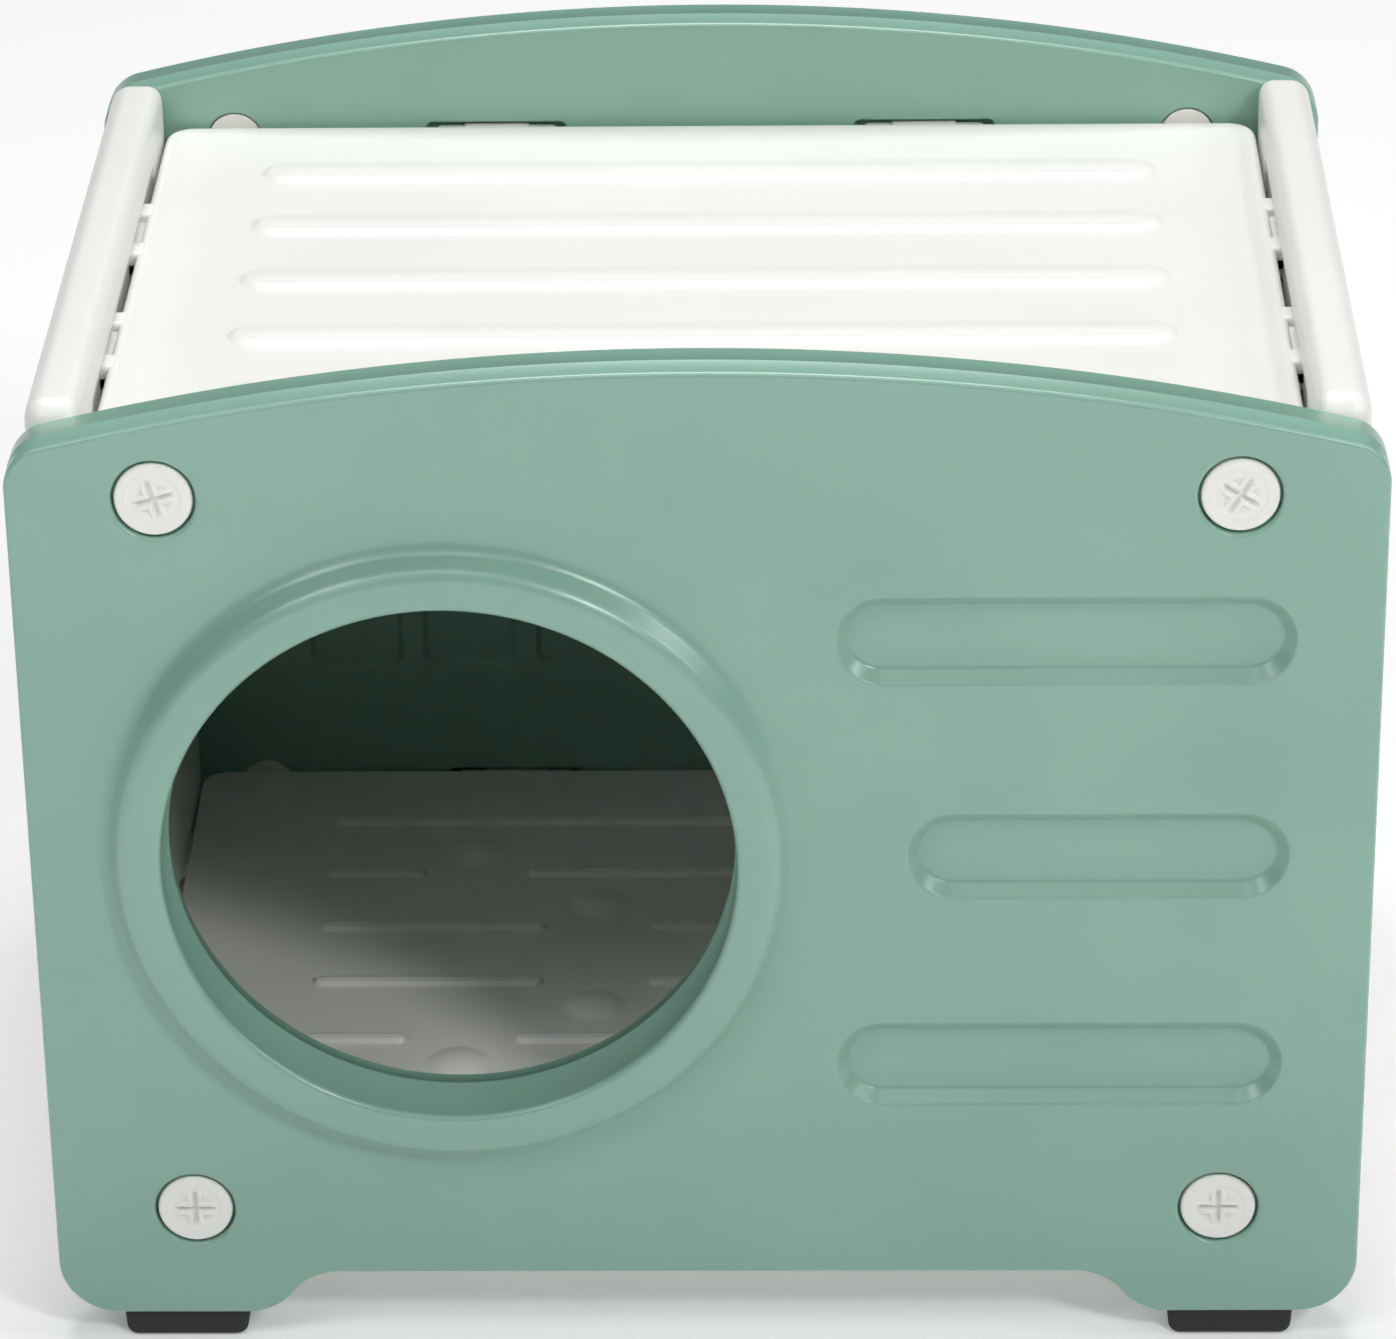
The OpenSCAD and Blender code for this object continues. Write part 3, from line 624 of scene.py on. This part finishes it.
class HOUSE_OT_front_panel(bpy.types.Operator):
    """Builds the green front panel with its entrance ring and slots"""

    bl_idname = "house.front_panel"
    bl_label = "Front panel"
    bl_options = {"REGISTER", "UNDO"}

    def execute(self, context):
        scene = context.scene
        hole = scene.house_openings
        skin = Skin()
        plane = Plane((0, FRONT_FACE, 0), (1, 0, 0), (0, 0, 1), (0, 1, 0))
        outer, inner = end_mouths(skin, plane, scene)
        proud = FRONT_FACE - FRONT_LOW.y
        ring = hole.ring_width
        lip, back = hole.ring_lip, PANEL_THICKNESS
        seam, draft = 0.35 * MM, 0.5 * MM
        profile = rounded(
            [
                (-ring - hole.ring_draft - hole.ring_base - GUARD, 0, 0),
                (-ring - hole.ring_draft, 0, hole.ring_base),
                (-ring, -proud, hole.ring_edge),
                (0, -proud, lip),
                (draft, hole.parting - seam, 0),
                (draft + seam, hole.parting, 0),
                (draft, hole.parting + seam, 0),
                (0, back, lip),
                (-lip - GUARD, back, 0),
            ]
        )
        path = circle_path(hole.entrance_x, hole.entrance_z, hole.entrance_radius)
        mouth, rear = skin.carry(plane, path, profile)
        outer.append(mouth)
        inner.append(rear)
        for left, rise in (
            (hole.slot_left, hole.slot_pitch),
            (hole.slot_middle_left, 0),
            (hole.slot_left, -hole.slot_pitch),
        ):
            path = stadium_path(left, hole.slot_right, hole.entrance_z + rise,
                                hole.slot_height / 2)
            outer.append(recess(skin, plane, path, 0, hole.slot_depth, hole.slot_draft,
                                hole.slot_lip, hole.slot_foot))
        finish_end(skin, plane, scene, outer, inner, "front_shell", "front_panel")
        return {"FINISHED"}


class HOUSE_OT_back_panel(bpy.types.Operator):
    """Builds the green back panel with the pockets on its inner face"""

    bl_idname = "house.back_panel"
    bl_label = "Back panel"
    bl_options = {"REGISTER", "UNDO"}

    def execute(self, context):
        scene = context.scene
        size, deck = scene.house_panels, scene.house_decks
        skin = Skin()
        plane = Plane((0, BACK_HIGH.y, 0), (1, 0, 0), (0, 0, 1), (0, -1, 0))
        outer, inner = end_mouths(skin, plane, scene)
        roof, floor = deck_tops(deck)
        low = floor + size.pocket_rise
        high = roof - deck.deck_thickness - size.pocket_drop
        bar = size.pocket_bar / 2
        bars = size.middle_pocket + size.pocket_pitch * np.arange(4)
        spans = [(-bars[0] + bar, bars[0] - bar)]
        for left, right in zip(bars[:-1] + bar, bars[1:] - bar):
            spans += [(left, right), (-right, -left)]
        for left, right in spans:
            inner.append(recess(skin, plane, box_path(left, right, low, high, size.pocket_corner),
                                PANEL_THICKNESS, -size.pocket_depth, draft=2 * MM,
                                lip=1.5 * MM, foot=1.5 * MM))
        finish_end(skin, plane, scene, outer, inner, "back_shell", "back_panel")
        return {"FINISHED"}


class HOUSE_OT_side_panels(bpy.types.Operator):
    """Builds the two white side panels with their end tongues"""

    bl_idname = "house.side_panels"
    bl_label = "Side panels"
    bl_options = {"REGISTER", "UNDO"}

    def execute(self, context):
        scene = context.scene
        deck = scene.house_decks
        gap = deck.clearance
        below, above = 2 * MM, 1.6 * MM  # how far the relief reaches past a deck
        for name, sign in (("left_side", -1), ("right_side", 1)):
            skin = Skin()
            plane = Plane((sign * SIDE_LOW.x, 0, 0), (0, 1, 0), (0, 0, 1), (sign, 0, 0))
            mouths = []
            for z in deck_tops(deck):
                drop = deck.tongue_depth + deck.tongue_step + gap
                reach = deck.side_tongue_width / 2 + gap
                notches = []
                for y in (MIDDLE_Y - deck.side_tongue_y, MIDDLE_Y + deck.side_tongue_y):
                    path = box_path(y - reach, y + reach, z - drop, z + gap, BLOCK_CORNER)
                    notches.append(
                        recess(skin, plane, path, deck.side_relief,
                               deck.side_tongue_length - deck.side_relief, CRISP, CRISP, PLAIN,
                               guard=NARROW_GUARD)
                    )
                path = box_path(MIDDLE_Y - deck.relief_half, MIDDLE_Y + deck.relief_half,
                                z - deck.deck_thickness - below, z + above, radius=4 * MM)
                mouths.append(recess(skin, plane, path, 0, deck.side_relief, draft=0.2 * MM,
                                     lip=0.7 * MM, foot=0.2 * MM, holes=notches,
                                     guard=NARROW_GUARD))
            tongue = deck.tongue_length - 2 * END_GAP
            front, back = SIDE_LOW.y + tongue, SIDE_HIGH.y - tongue
            thickness = SIDE_HIGH.x - SIDE_LOW.x
            path = box_path(front, back, SIDE_LOW.z, SIDE_HIGH.z, deck.side_corner)
            slab(skin, plane, path, thickness, deck.side_edge, deck.side_rim, outer=mouths)
            wide = deck.end_tongue_width / 2
            for z in end_tongue_heights(deck):
                path = box_path(SIDE_LOW.y, SIDE_HIGH.y, z - deck.end_tongue_height / 2,
                                z + deck.end_tongue_height / 2, BLOCK_CORNER)
                inset = Plane(plane.place(np.zeros(2), thickness / 2 - wide), plane.across,
                              plane.up, plane.inward)
                slab(skin, inset, path, 2 * wide, BLOCK_EDGE, BLOCK_EDGE)
            skin.piece(name, white_plastic(scene), "white_plastic", f"{name}_panel")
        return {"FINISHED"}


def deck_plane(top):
    """The plane of the roof's or the floor's flat top."""
    return Plane((0, 0, top), (1, 0, 0), (0, 1, 0), (0, 0, -1))


def deck_panel(skin, scene, top, edge, mouths):
    """The roof or the floor: a slab with rounded corners and stepped tongues on its four edges."""
    deck = scene.house_decks
    plane = deck_plane(top)
    half = ROOF_HIGH.x - deck.side_tongue_length
    front, back = ROOF_LOW.y + deck.tongue_length, ROOF_HIGH.y - deck.tongue_length
    slab(skin, plane, box_path(-half, half, front, back, deck.deck_corner), deck.deck_thickness,
         edge, deck.deck_low_edge, draft=0.3 * MM, seam=0.1 * MM, outer=mouths)
    wide, middle = deck.tongue_width / 2, deck.tongue_middle / 2
    step, drop = deck.tongue_step, deck.tongue_depth
    for edge, inward in ((ROOF_LOW.y, 1), (ROOF_HIGH.y, -1)):
        for x in (-deck.tongue_x, deck.tongue_x):
            end = Plane((x, edge, top), (1, 0, 0), (0, 0, 1), (0, inward, 0))
            depth = deck.tongue_length + ROOT
            path = box_path(-wide, wide, -drop - step, -step, radius=2.5 * MM)
            slab(skin, end, path, depth, outer_edge=1.5 * MM, inner_edge=FINE)
            path = box_path(-middle, middle, -drop, -step / 2, BLOCK_CORNER)
            slab(skin, end, path, depth, outer_edge=1.2 * MM, inner_edge=FINE)
    wide = deck.side_tongue_width / 2
    depth = deck.side_tongue_length + ROOT
    for sign in (-1, 1):
        for y in (MIDDLE_Y - deck.side_tongue_y, MIDDLE_Y + deck.side_tongue_y):
            end = Plane((sign * ROOF_HIGH.x, y, top), (0, 1, 0), (0, 0, 1), (-sign, 0, 0))
            path = box_path(-wide, wide, -drop - step, -2 * step, BLOCK_CORNER)
            slab(skin, end, path, depth, BLOCK_EDGE, FINE)
            for low in (-wide, middle):
                path = box_path(low, low + wide - middle, -drop, -step / 4, BLOCK_CORNER)
                slab(skin, end, path, depth, BLOCK_EDGE, FINE)


class HOUSE_OT_roof(bpy.types.Operator):
    """Builds the white roof with its broad ribs"""

    bl_idname = "house.roof"
    bl_label = "Roof"
    bl_options = {"REGISTER", "UNDO"}

    def execute(self, context):
        scene = context.scene
        deck = scene.house_decks
        top = deck_tops(deck)[0]
        skin = Skin()
        plane = deck_plane(top)
        wide = deck.roof_rib_width / 2
        mouths = [
            rib(skin, plane, stadium_path(-deck.roof_rib_half, deck.roof_rib_half,
                                          MIDDLE_Y + k * deck.roof_rib_pitch, wide),
                wide, deck.roof_rib_height, slope=3 * MM, foot=3 * MM, shoulder=3 * MM,
                crown=0.5 * MM)
            for k in range(-2, 3)
        ]
        deck_panel(skin, scene, top, deck.roof_edge, mouths)
        skin.piece("roof", white_plastic(scene), "white_plastic", "roof_panel")
        return {"FINISHED"}


class HOUSE_OT_floor(bpy.types.Operator):
    """Builds the white floor with its narrow ribs and low domes"""

    bl_idname = "house.floor"
    bl_label = "Floor"
    bl_options = {"REGISTER", "UNDO"}

    def execute(self, context):
        scene = context.scene
        deck = scene.house_decks
        top = deck_tops(deck)[1]
        skin = Skin()
        plane = deck_plane(top)
        wide, end, gap = deck.floor_rib_width / 2, deck.floor_rib_half, deck.rib_break / 2
        spans = [(2.5, [(-end, end)])]
        for k, x in ((1.5, deck.dome_x_outer), (0.5, deck.dome_x_inner)):
            spans.append((k, [(-end, -x - gap), (gap - x, x - gap), (x + gap, end)]))
        mouths = []
        for sign in (-1, 1):
            for k, runs in spans:
                y = MIDDLE_Y + sign * k * deck.floor_rib_pitch
                mouths += [
                    rib(skin, plane, stadium_path(left, right, y, wide), wide,
                        deck.floor_rib_height, slope=1.5 * MM, foot=1.2 * MM,
                        shoulder=1.3 * MM, crown=0.4 * MM)
                    for left, right in runs
                ]
            for x, y in ((deck.dome_x_outer, deck.dome_y_outer),
                         (deck.dome_x_inner, deck.dome_y_inner)):
                mouths += [dome(skin, plane, side * x, MIDDLE_Y + sign * y, deck.dome_radius,
                                deck.dome_height) for side in (-1, 1)]
        deck_panel(skin, scene, top, deck.floor_edge, mouths)
        skin.piece("floor", white_plastic(scene), "white_plastic", "floor_panel")
        return {"FINISHED"}


def smooth(low, high, x):
    """0 below low, 1 above high and 3 t t - 2 t t t between."""
    t = np.clip((x - low) / (high - low), 0, 1)
    return t * t * (3 - 2 * t)


def head_depth(fast, u, v):
    """Depth of a screw head's face below its rim: a flat rim, a slightly lower middle, sunk corners
    behind L-shaped lips, and a cross of two channels with steep walls."""
    r = np.hypot(u, v) / fast.head_radius
    along, beside = np.maximum(abs(u), abs(v)), np.minimum(abs(u), abs(v))
    channel = fast.cross_width / 2
    soft, fade, dish = 0.3 * MM, 3 * MM, 0.25 * MM
    ends = 1 - smooth(fast.cross_half - fade, fast.cross_half, along)
    cut = (1 - smooth(channel - soft, channel + soft, beside)) * ends
    lip_end = channel + fast.lip_width
    outside = smooth(lip_end - soft, lip_end + soft, beside)
    corner = outside * (1 - smooth(0, fast.quadrant_reach, np.hypot(along, beside) - 1.4 * lip_end))
    middle = dish * (1 - smooth(0.66, 0.72, r))
    lip = fast.lip_height * (1 - outside) * ends
    return middle - lip + fast.quadrant_depth * corner + fast.cross_depth * cut


class HOUSE_OT_screws(bpy.types.Operator):
    """Builds the eight white plastic screws"""

    bl_idname = "house.screws"
    bl_label = "Screws"
    bl_options = {"REGISTER", "UNDO"}

    def execute(self, context):
        scene = context.scene
        fast = scene.house_fasteners
        turns = {"front": (17, 58, 0, 0), "back": (10, 70, 35, 0)}  # degrees, head by head
        for end, face, inward in (("front", FRONT_FACE, 1), ("back", BACK_HIGH.y, -1)):
            for (name, x, z), turn in zip(screw_places(end), turns[end]):
                low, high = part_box(name)
                length_in = high.y - low.y
                a = math.radians(turn)
                plane = Plane(
                    (x, face + inward * fast.head_recess, z),
                    (math.cos(a), 0, math.sin(a)),
                    (-math.sin(a), 0, math.cos(a)),
                    (0, inward, 0),
                )
                self.screw(scene, fast, plane, name, length_in)
        return {"FINISHED"}

    def screw(self, scene, fast, plane, name, length_in):
        """A square grid over the cross, stretched out to the rim circle, then a rounded rim, the
        underside and the shank."""
        skin = Skin()
        half, count = 0.62 * fast.head_radius, 73
        line = np.linspace(-half, half, count)
        u, v = np.meshgrid(line, line, indexing="ij")
        skin.grid(plane.place(np.stack([u, v], -1), head_depth(fast, u, v)), 0.0, closed=False)
        sides = np.concatenate(
            [
                np.stack([line[:-1], np.full(count - 1, -half)], 1),
                np.stack([np.full(count - 1, half), line[:-1]], 1),
                np.stack([-line[:-1], np.full(count - 1, half)], 1),
                np.stack([np.full(count - 1, -half), -line[:-1]], 1),
            ]
        )
        way = sides / np.hypot(*sides.T)[:, None]
        radius, edge = fast.head_radius, 1.3 * MM
        t = np.linspace(0, 1, 16)[:, None, None]
        out = (1 - t) * sides + t * way * (radius - edge - GUARD)
        skin.grid(plane.place(out, head_depth(fast, out[..., 0], out[..., 1])), 0.0)
        thick, low_edge = fast.head_thickness, 0.4 * MM
        rim = rounded(
            [
                (edge + GUARD, 0, 0),
                (0, 0, edge),
                (0, thick, low_edge),
                (radius - fast.shank_radius, thick, FINE),
                (radius - fast.shank_radius, length_in, PLAIN),
                (radius - fast.shank_radius / 2, length_in, 0),
            ],
            side=-1.0,
        )
        path = np.hstack([way * radius, way])
        tip = skin.carry(plane, path, rim)[1]
        skin.fill(plane, length_in, tip)
        skin.piece(name.replace("screw_", "screw_piece_"), screw_plastic(scene), "screw_plastic",
                   name)


class HOUSE_OT_bushes(bpy.types.Operator):
    """Builds the eight flanged bushes that the screws bite into"""

    bl_idname = "house.bushes"
    bl_label = "Bushes"
    bl_options = {"REGISTER", "UNDO"}

    def execute(self, context):
        scene = context.scene
        fast = scene.house_fasteners
        for end, inward in (("front", 1), ("back", -1)):
            for name, x, z in screw_places(end):
                node = name.replace("screw", "bush")
                low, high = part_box(node)
                start = low.y if inward > 0 else high.y
                long = high.y - low.y
                plane = Plane((x, start, z), (1, 0, 0), (0, 0, 1), (0, inward, 0))
                skin = Skin()
                flange, barrel = fast.bush_radius, fast.barrel_radius
                bore, face_edge = fast.shank_radius + 0.1 * MM, 1.8 * MM
                profile = rounded(
                    [
                        (flange - bore, long / 2, 0),
                        (flange - bore, 0, FINE),
                        (0, 0, face_edge),
                        (0, fast.bush_length, PLAIN),
                        (flange - barrel, fast.bush_length, FINE),
                        (flange - barrel, long, FINE),
                        (flange - bore, long, CRISP),
                        (flange - bore, long / 2, 0),
                    ],
                    side=-1.0,
                )
                skin.carry(plane, circle_path(0, 0, flange), profile)
                skin.piece(node.replace("bush_", "bush_piece_"), bush_plastic(scene),
                           "bush_plastic", node)
        return {"FINISHED"}


class HOUSE_OT_feet(bpy.types.Operator):
    """Builds the four black rubber feet"""

    bl_idname = "house.feet"
    bl_label = "Feet"
    bl_options = {"REGISTER", "UNDO"}

    def execute(self, context):
        scene = context.scene
        fast = scene.house_fasteners
        for node in ("foot_front_left", "foot_front_right", "foot_back_left", "foot_back_right"):
            low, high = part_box(node)
            x = (low.x + high.x) / 2
            y = (low.y + high.y) / 2
            up = Plane((x, y, 0), (1, 0, 0), (0, 1, 0), (0, 0, 1))
            across, along = (high.x - low.x) / 2, (high.y - low.y) / 2
            path = box_path(-across, across, -along, along, fast.foot_corner)
            sole = fast.foot_taper + fast.foot_edge + GUARD
            profile = rounded(
                [
                    (sole, 0, 0),
                    (fast.foot_taper, 0, fast.foot_edge),
                    (0, LEG_Z, CRISP),
                    (CRISP + GUARD, LEG_Z, 0),
                ],
                side=-1.0,
            )
            skin = Skin()
            low_loop, high_loop = skin.carry(up, path, profile)
            skin.fill(up, 0, low_loop)
            skin.fill(up, LEG_Z, high_loop)
            peg(skin, up, 0, 0, fast.plug_radius, LEG_Z - ROOT, high.z, BLOCK_EDGE)
            skin.piece(node.replace("foot_", "foot_piece_"), black_rubber(scene), "black_rubber",
                       node)
        return {"FINISHED"}


# ---- finishes ----


class Wire:
    """A shader socket in Python arithmetic: each sum, difference or product of wires and numbers
    adds its Math node, and make adds any other node."""

    def __init__(self, tree, socket=None):
        self.tree, self.socket = tree, socket

    def make(self, kind, settings=None, inputs=None, output=0):
        """A node of that kind: its settings first, then values or wires for its sockets."""
        node = self.tree.nodes.new(kind)
        for key, value in (settings or {}).items():
            setattr(node, key, value)
        for key, value in (inputs or {}).items():
            if isinstance(value, Wire):
                self.tree.links.new(value.socket, node.inputs[key])
            else:
                node.inputs[key].default_value = value
        return Wire(self.tree, node.outputs[output] if output is not None else None)

    def _math(self, operation, a, b):
        """A Math node on two wires or numbers."""
        return self.make("ShaderNodeMath", {"operation": operation}, {0: a, 1: b})

    def __add__(self, other):
        return self._math("ADD", self, other)

    __radd__ = __add__

    def __sub__(self, other):
        return self._math("SUBTRACT", self, other)

    def __rsub__(self, other):
        return self._math("SUBTRACT", other, self)

    def __mul__(self, other):
        return self._math("MULTIPLY", self, other)

    __rmul__ = __mul__

    def between(self, low, high):
        """0 at low, 1 at high, held at both ends."""
        return self.make("ShaderNodeMapRange", {}, {0: self, 1: low, 2: high, 3: 0.0, 4: 1.0})

    def blend(self, a, b):
        """Colour a where this is 0 and colour b where it is 1."""
        return self.make("ShaderNodeMix", {"data_type": "RGBA"}, {0: self, 6: a, 7: b}, output=2)


def noise(wire, place, scale, detail=2.0, roughness=0.5):
    """Soft noise with about scale blots to the metre."""
    return wire.make(
        "ShaderNodeTexNoise",
        {},
        {"Vector": place, "Scale": scale, "Detail": detail, "Roughness": roughness},
    )


def scaled(rgb, factor):
    """A colour made lighter or darker, with full opacity."""
    return (*(min(1.0, c * factor) for c in rgb), 1.0)


CLOUD_SCALE, STREAK_SCALE = 14.0, 160.0  # blots to the metre
CLOUD_SPREAD, STREAK_SPREAD = (0.3, 0.7), (0.42, 0.68)  # the noise that is stretched to 0..1
# edge weights of the paler edges (light wear and a painted highlight) and of the painted shade in
# hollows
SHEEN_AND_WEAR_FROM, CREASE_SHADE_FROM = (0.25, 1.0), (-0.2, -1.0)  # edge weights where each begins and is full
GLOSS_ROUGHNESS = 0.26


def moulded(name, rgb, roughness, grain, grain_scale, sheen_and_wear, specular=0.5, clouds=0.035,
            coat=0.0):
    """Satin moulded plastic: faint clouds of colour, paler convex edges in streaks (light edge wear
    and a painted highlight), painted shade in the hollow fillets, a fine grain that roughens and
    bumps the surface, and a thin gloss."""
    found = bpy.data.materials.get(name)
    if found:
        return found
    material = bpy.data.materials.new(name)
    material.use_nodes = True
    tree = material.node_tree
    tree.nodes.clear()
    wire = Wire(tree)
    place = wire.make("ShaderNodeTexCoord", output="Object")
    edge = wire.make("ShaderNodeAttribute", {"attribute_name": "edge"}, output="Fac")
    cloud = noise(wire, place, CLOUD_SCALE, 3.0)
    streak = noise(wire, place, STREAK_SCALE, 3.0, 0.6)
    fine = noise(wire, place, grain_scale, 2.0, 0.6)
    speck = noise(wire, place, grain_scale / 3.5, 1.0)
    tint = cloud.between(*CLOUD_SPREAD).blend(scaled(rgb, 1 - clouds), scaled(rgb, 1 + clouds))
    # paler tint along convex fillets, in streaks: light edge wear and a painted highlight
    edge_sheen_and_wear = edge.between(*SHEEN_AND_WEAR_FROM) * streak.between(*STREAK_SPREAD) * sheen_and_wear
    paler = scaled([0.55 * c + 0.45 * max(rgb) for c in rgb], 1.12)
    tint = edge_sheen_and_wear.blend(tint, paler)
    # painted shade: a darker tint in the hollow fillets of creases and recesses
    hollow = edge.between(*CREASE_SHADE_FROM) * 0.16
    darker = scaled(rgb, 0.62)
    tint = hollow.blend(tint, darker)
    rough = roughness + (fine - 0.5) * 0.10 + (cloud - 0.5) * 0.08 - edge_sheen_and_wear * 0.10
    height = fine * 0.8 + speck * 0.5
    bump = wire.make(
        "ShaderNodeBump", {}, {"Strength": 1.0, "Distance": grain, "Height": height}
    )
    shader = wire.make(
        "ShaderNodeBsdfPrincipled",
        {},
        {
            "Base Color": tint,
            "Roughness": rough,
            "Specular IOR Level": specular,
            "Coat Weight": coat,
            "Coat Roughness": GLOSS_ROUGHNESS,
            "Normal": bump,
        },
    )
    wire.make("ShaderNodeOutputMaterial", {}, {"Surface": shader}, output=None)
    return material


def green_plastic(scene):
    """Sage-green plastic with a satin grain."""
    look = scene.house_finish
    return moulded("sage_green_plastic", look.green, look.green_roughness, look.grain,
                   grain_scale=1900.0, sheen_and_wear=0.22, coat=0.6)


def white_plastic(scene):
    """Warm white plastic with a satin grain."""
    look = scene.house_finish
    return moulded("warm_white_plastic", look.white, look.white_roughness, look.grain,
                   grain_scale=1900.0, sheen_and_wear=0.1, clouds=0.012, coat=0.1)


def screw_plastic(scene):
    """The screws' denser white plastic."""
    look = scene.house_finish
    return moulded("screw_white_plastic", look.screw_white, 0.36, 0.6 * look.grain,
                   grain_scale=2600.0, sheen_and_wear=0.1, clouds=0.015)


def bush_plastic(scene):
    """The bushes' slightly yellow white plastic."""
    look = scene.house_finish
    return moulded("bush_white_plastic", look.bush_white, 0.34, 0.5 * look.grain,
                   grain_scale=2600.0, sheen_and_wear=0.1, clouds=0.015)


def black_rubber(scene):
    """Matt black rubber with faintly paler edges: dust and a painted highlight."""
    look = scene.house_finish
    return moulded("black_rubber", look.rubber, 0.62, 2.0 * look.grain,
                   grain_scale=1300.0, sheen_and_wear=0.5, specular=0.35, clouds=0.12)


# ---- the stage ----

LAMP_AIM = (0, -0.05, 0.22)
BACKDROP_FROM = (0.4, 2.4)  # metres from the middle where the backdrop's glow begins and is full
LAMPS = {  # bearing and rise in degrees, distance and size in metres
    "key": (35, 38, 3.0, 0.4),
    "front": (-6, 58, 2.1, 0.8),
    "right": (74, 34, 2.1, 0.5),
    "left": (-45, 44, 2.1, 0.6),
    "fill": (-25, 30, 2.1, 0.5),
    "top": (180, 74, 2.2, 1.2),
}


class HOUSE_OT_stage(bpy.types.Operator):
    """Sets the pale floor, the studio light and the camera"""

    bl_idname = "house.stage"
    bl_label = "Stage"
    bl_options = {"REGISTER", "UNDO"}

    def execute(self, context):
        scene = context.scene
        look = scene.house_stage
        scene.view_settings.view_transform = "Standard"
        self.floor(scene, look)
        scene.world = bpy.data.worlds.new("dark_surround")
        scene.world.use_nodes = True
        scene.world.node_tree.nodes["Background"].inputs["Strength"].default_value = 0
        for name, (bearing, rise, distance, size) in LAMPS.items():
            self.light(scene, name, getattr(look, name), bearing, rise, distance, size)
        self.camera(scene, look)
        return {"FINISHED"}

    def floor(self, scene, look):
        """A flat square of 80 metres under the feet, which glows a little, more at a distance, like
        a lit backdrop."""
        reach = 40.0
        corners = np.array([[-1, -1, 0], [1, -1, 0], [1, 1, 0], [-1, 1, 0]]) * reach
        mesh = bpy.data.meshes.new("studio_floor")
        mesh.from_pydata(corners, [], [(0, 1, 2, 3)])
        material = bpy.data.materials.new("studio_floor")
        material.use_nodes = True
        tree = material.node_tree
        wire = Wire(tree)
        place = wire.make("ShaderNodeTexCoord", output="Object")
        away = wire.make("ShaderNodeVectorMath", {"operation": "LENGTH"}, {0: place},
                         output="Value").between(*BACKDROP_FROM)
        shader = tree.nodes["Principled BSDF"]
        shader.inputs["Base Color"].default_value = (0.95, 0.95, 0.95, 1)
        shader.inputs["Roughness"].default_value = 0.9
        near, far = (scaled((1, 1, 1), glow) for glow in (look.floor_glow, look.backdrop_glow))
        tree.links.new(away.blend(near, far).socket, shader.inputs["Emission Color"])
        shader.inputs["Emission Strength"].default_value = 1.0
        mesh.materials.append(material)
        made = bpy.data.objects.new("studio_floor", mesh)
        scene.collection.objects.link(made)

    def light(self, scene, name, power, bearing, rise, distance, size):
        """A square soft light that faces the aim, at a bearing to the right of straight ahead and a
        rise above the floor, both in degrees."""
        data = bpy.data.lights.new(name, "AREA")
        data.energy, data.size = power, size
        a, e = math.radians(bearing), math.radians(rise)
        way = Vector((math.sin(a) * math.cos(e), -math.cos(a) * math.cos(e), math.sin(e)))
        made = bpy.data.objects.new(name, data)
        made.location = Vector(LAMP_AIM) + distance * way
        made.rotation_euler = way.to_track_quat("Z", "Y").to_euler()
        scene.collection.objects.link(made)

    def camera(self, scene, look):
        """Yaw about Z, then pitch about X, then roll about the line of sight."""
        data = bpy.data.cameras.new("camera")
        data.lens, data.sensor_width = look.lens, 36.0
        data.clip_end = 100.0
        turned = (
            Matrix.Rotation(look.yaw, 4, "Z")
            @ Matrix.Rotation(-look.pitch, 4, "X")
            @ Matrix.Rotation(look.roll, 4, "Y")
        )
        to_view = Matrix.Rotation(math.pi / 2, 4, "X")
        made = bpy.data.objects.new("camera", data)
        made.matrix_world = Matrix.Translation(look.eye) @ turned @ to_view
        scene.collection.objects.link(made)
        scene.camera = made


# ---- the add-on ----

STEPS = (
    HOUSE_OT_front_panel,
    HOUSE_OT_back_panel,
    HOUSE_OT_side_panels,
    HOUSE_OT_roof,
    HOUSE_OT_floor,
    HOUSE_OT_screws,
    HOUSE_OT_bushes,
    HOUSE_OT_feet,
    HOUSE_OT_stage,
)
SETTINGS = {
    "house_panels": HousePanelSizes,
    "house_openings": HouseOpeningSizes,
    "house_decks": HouseDeckSizes,
    "house_fasteners": HouseFastenerSizes,
    "house_finish": HouseFinish,
    "house_stage": HouseStage,
}


class HOUSE_PT_steps(bpy.types.Panel):
    """Lists the steps that build the house."""

    bl_idname = "HOUSE_PT_steps"
    bl_label = "Small-Animal House"
    bl_space_type = "VIEW_3D"
    bl_region_type = "UI"
    bl_category = "House"

    def draw(self, context):
        for step in STEPS:
            self.layout.operator(step.bl_idname)


def register():
    """Adds the classes, and the settings to every scene."""
    for kind in (*SETTINGS.values(), *STEPS, HOUSE_PT_steps):
        bpy.utils.register_class(kind)
    for name, kind in SETTINGS.items():
        setattr(bpy.types.Scene, name, PointerProperty(type=kind))


def unregister():
    """Takes away what register added."""
    for name in SETTINGS:
        delattr(bpy.types.Scene, name)
    for kind in (HOUSE_PT_steps, *reversed(STEPS), *SETTINGS.values()):
        bpy.utils.unregister_class(kind)


def main():
    """Builds the house and its stage."""
    register()
    for step in STEPS:
        group, name = step.bl_idname.split(".")
        getattr(getattr(bpy.ops, group), name)()


if __name__ == "__main__":
    main()
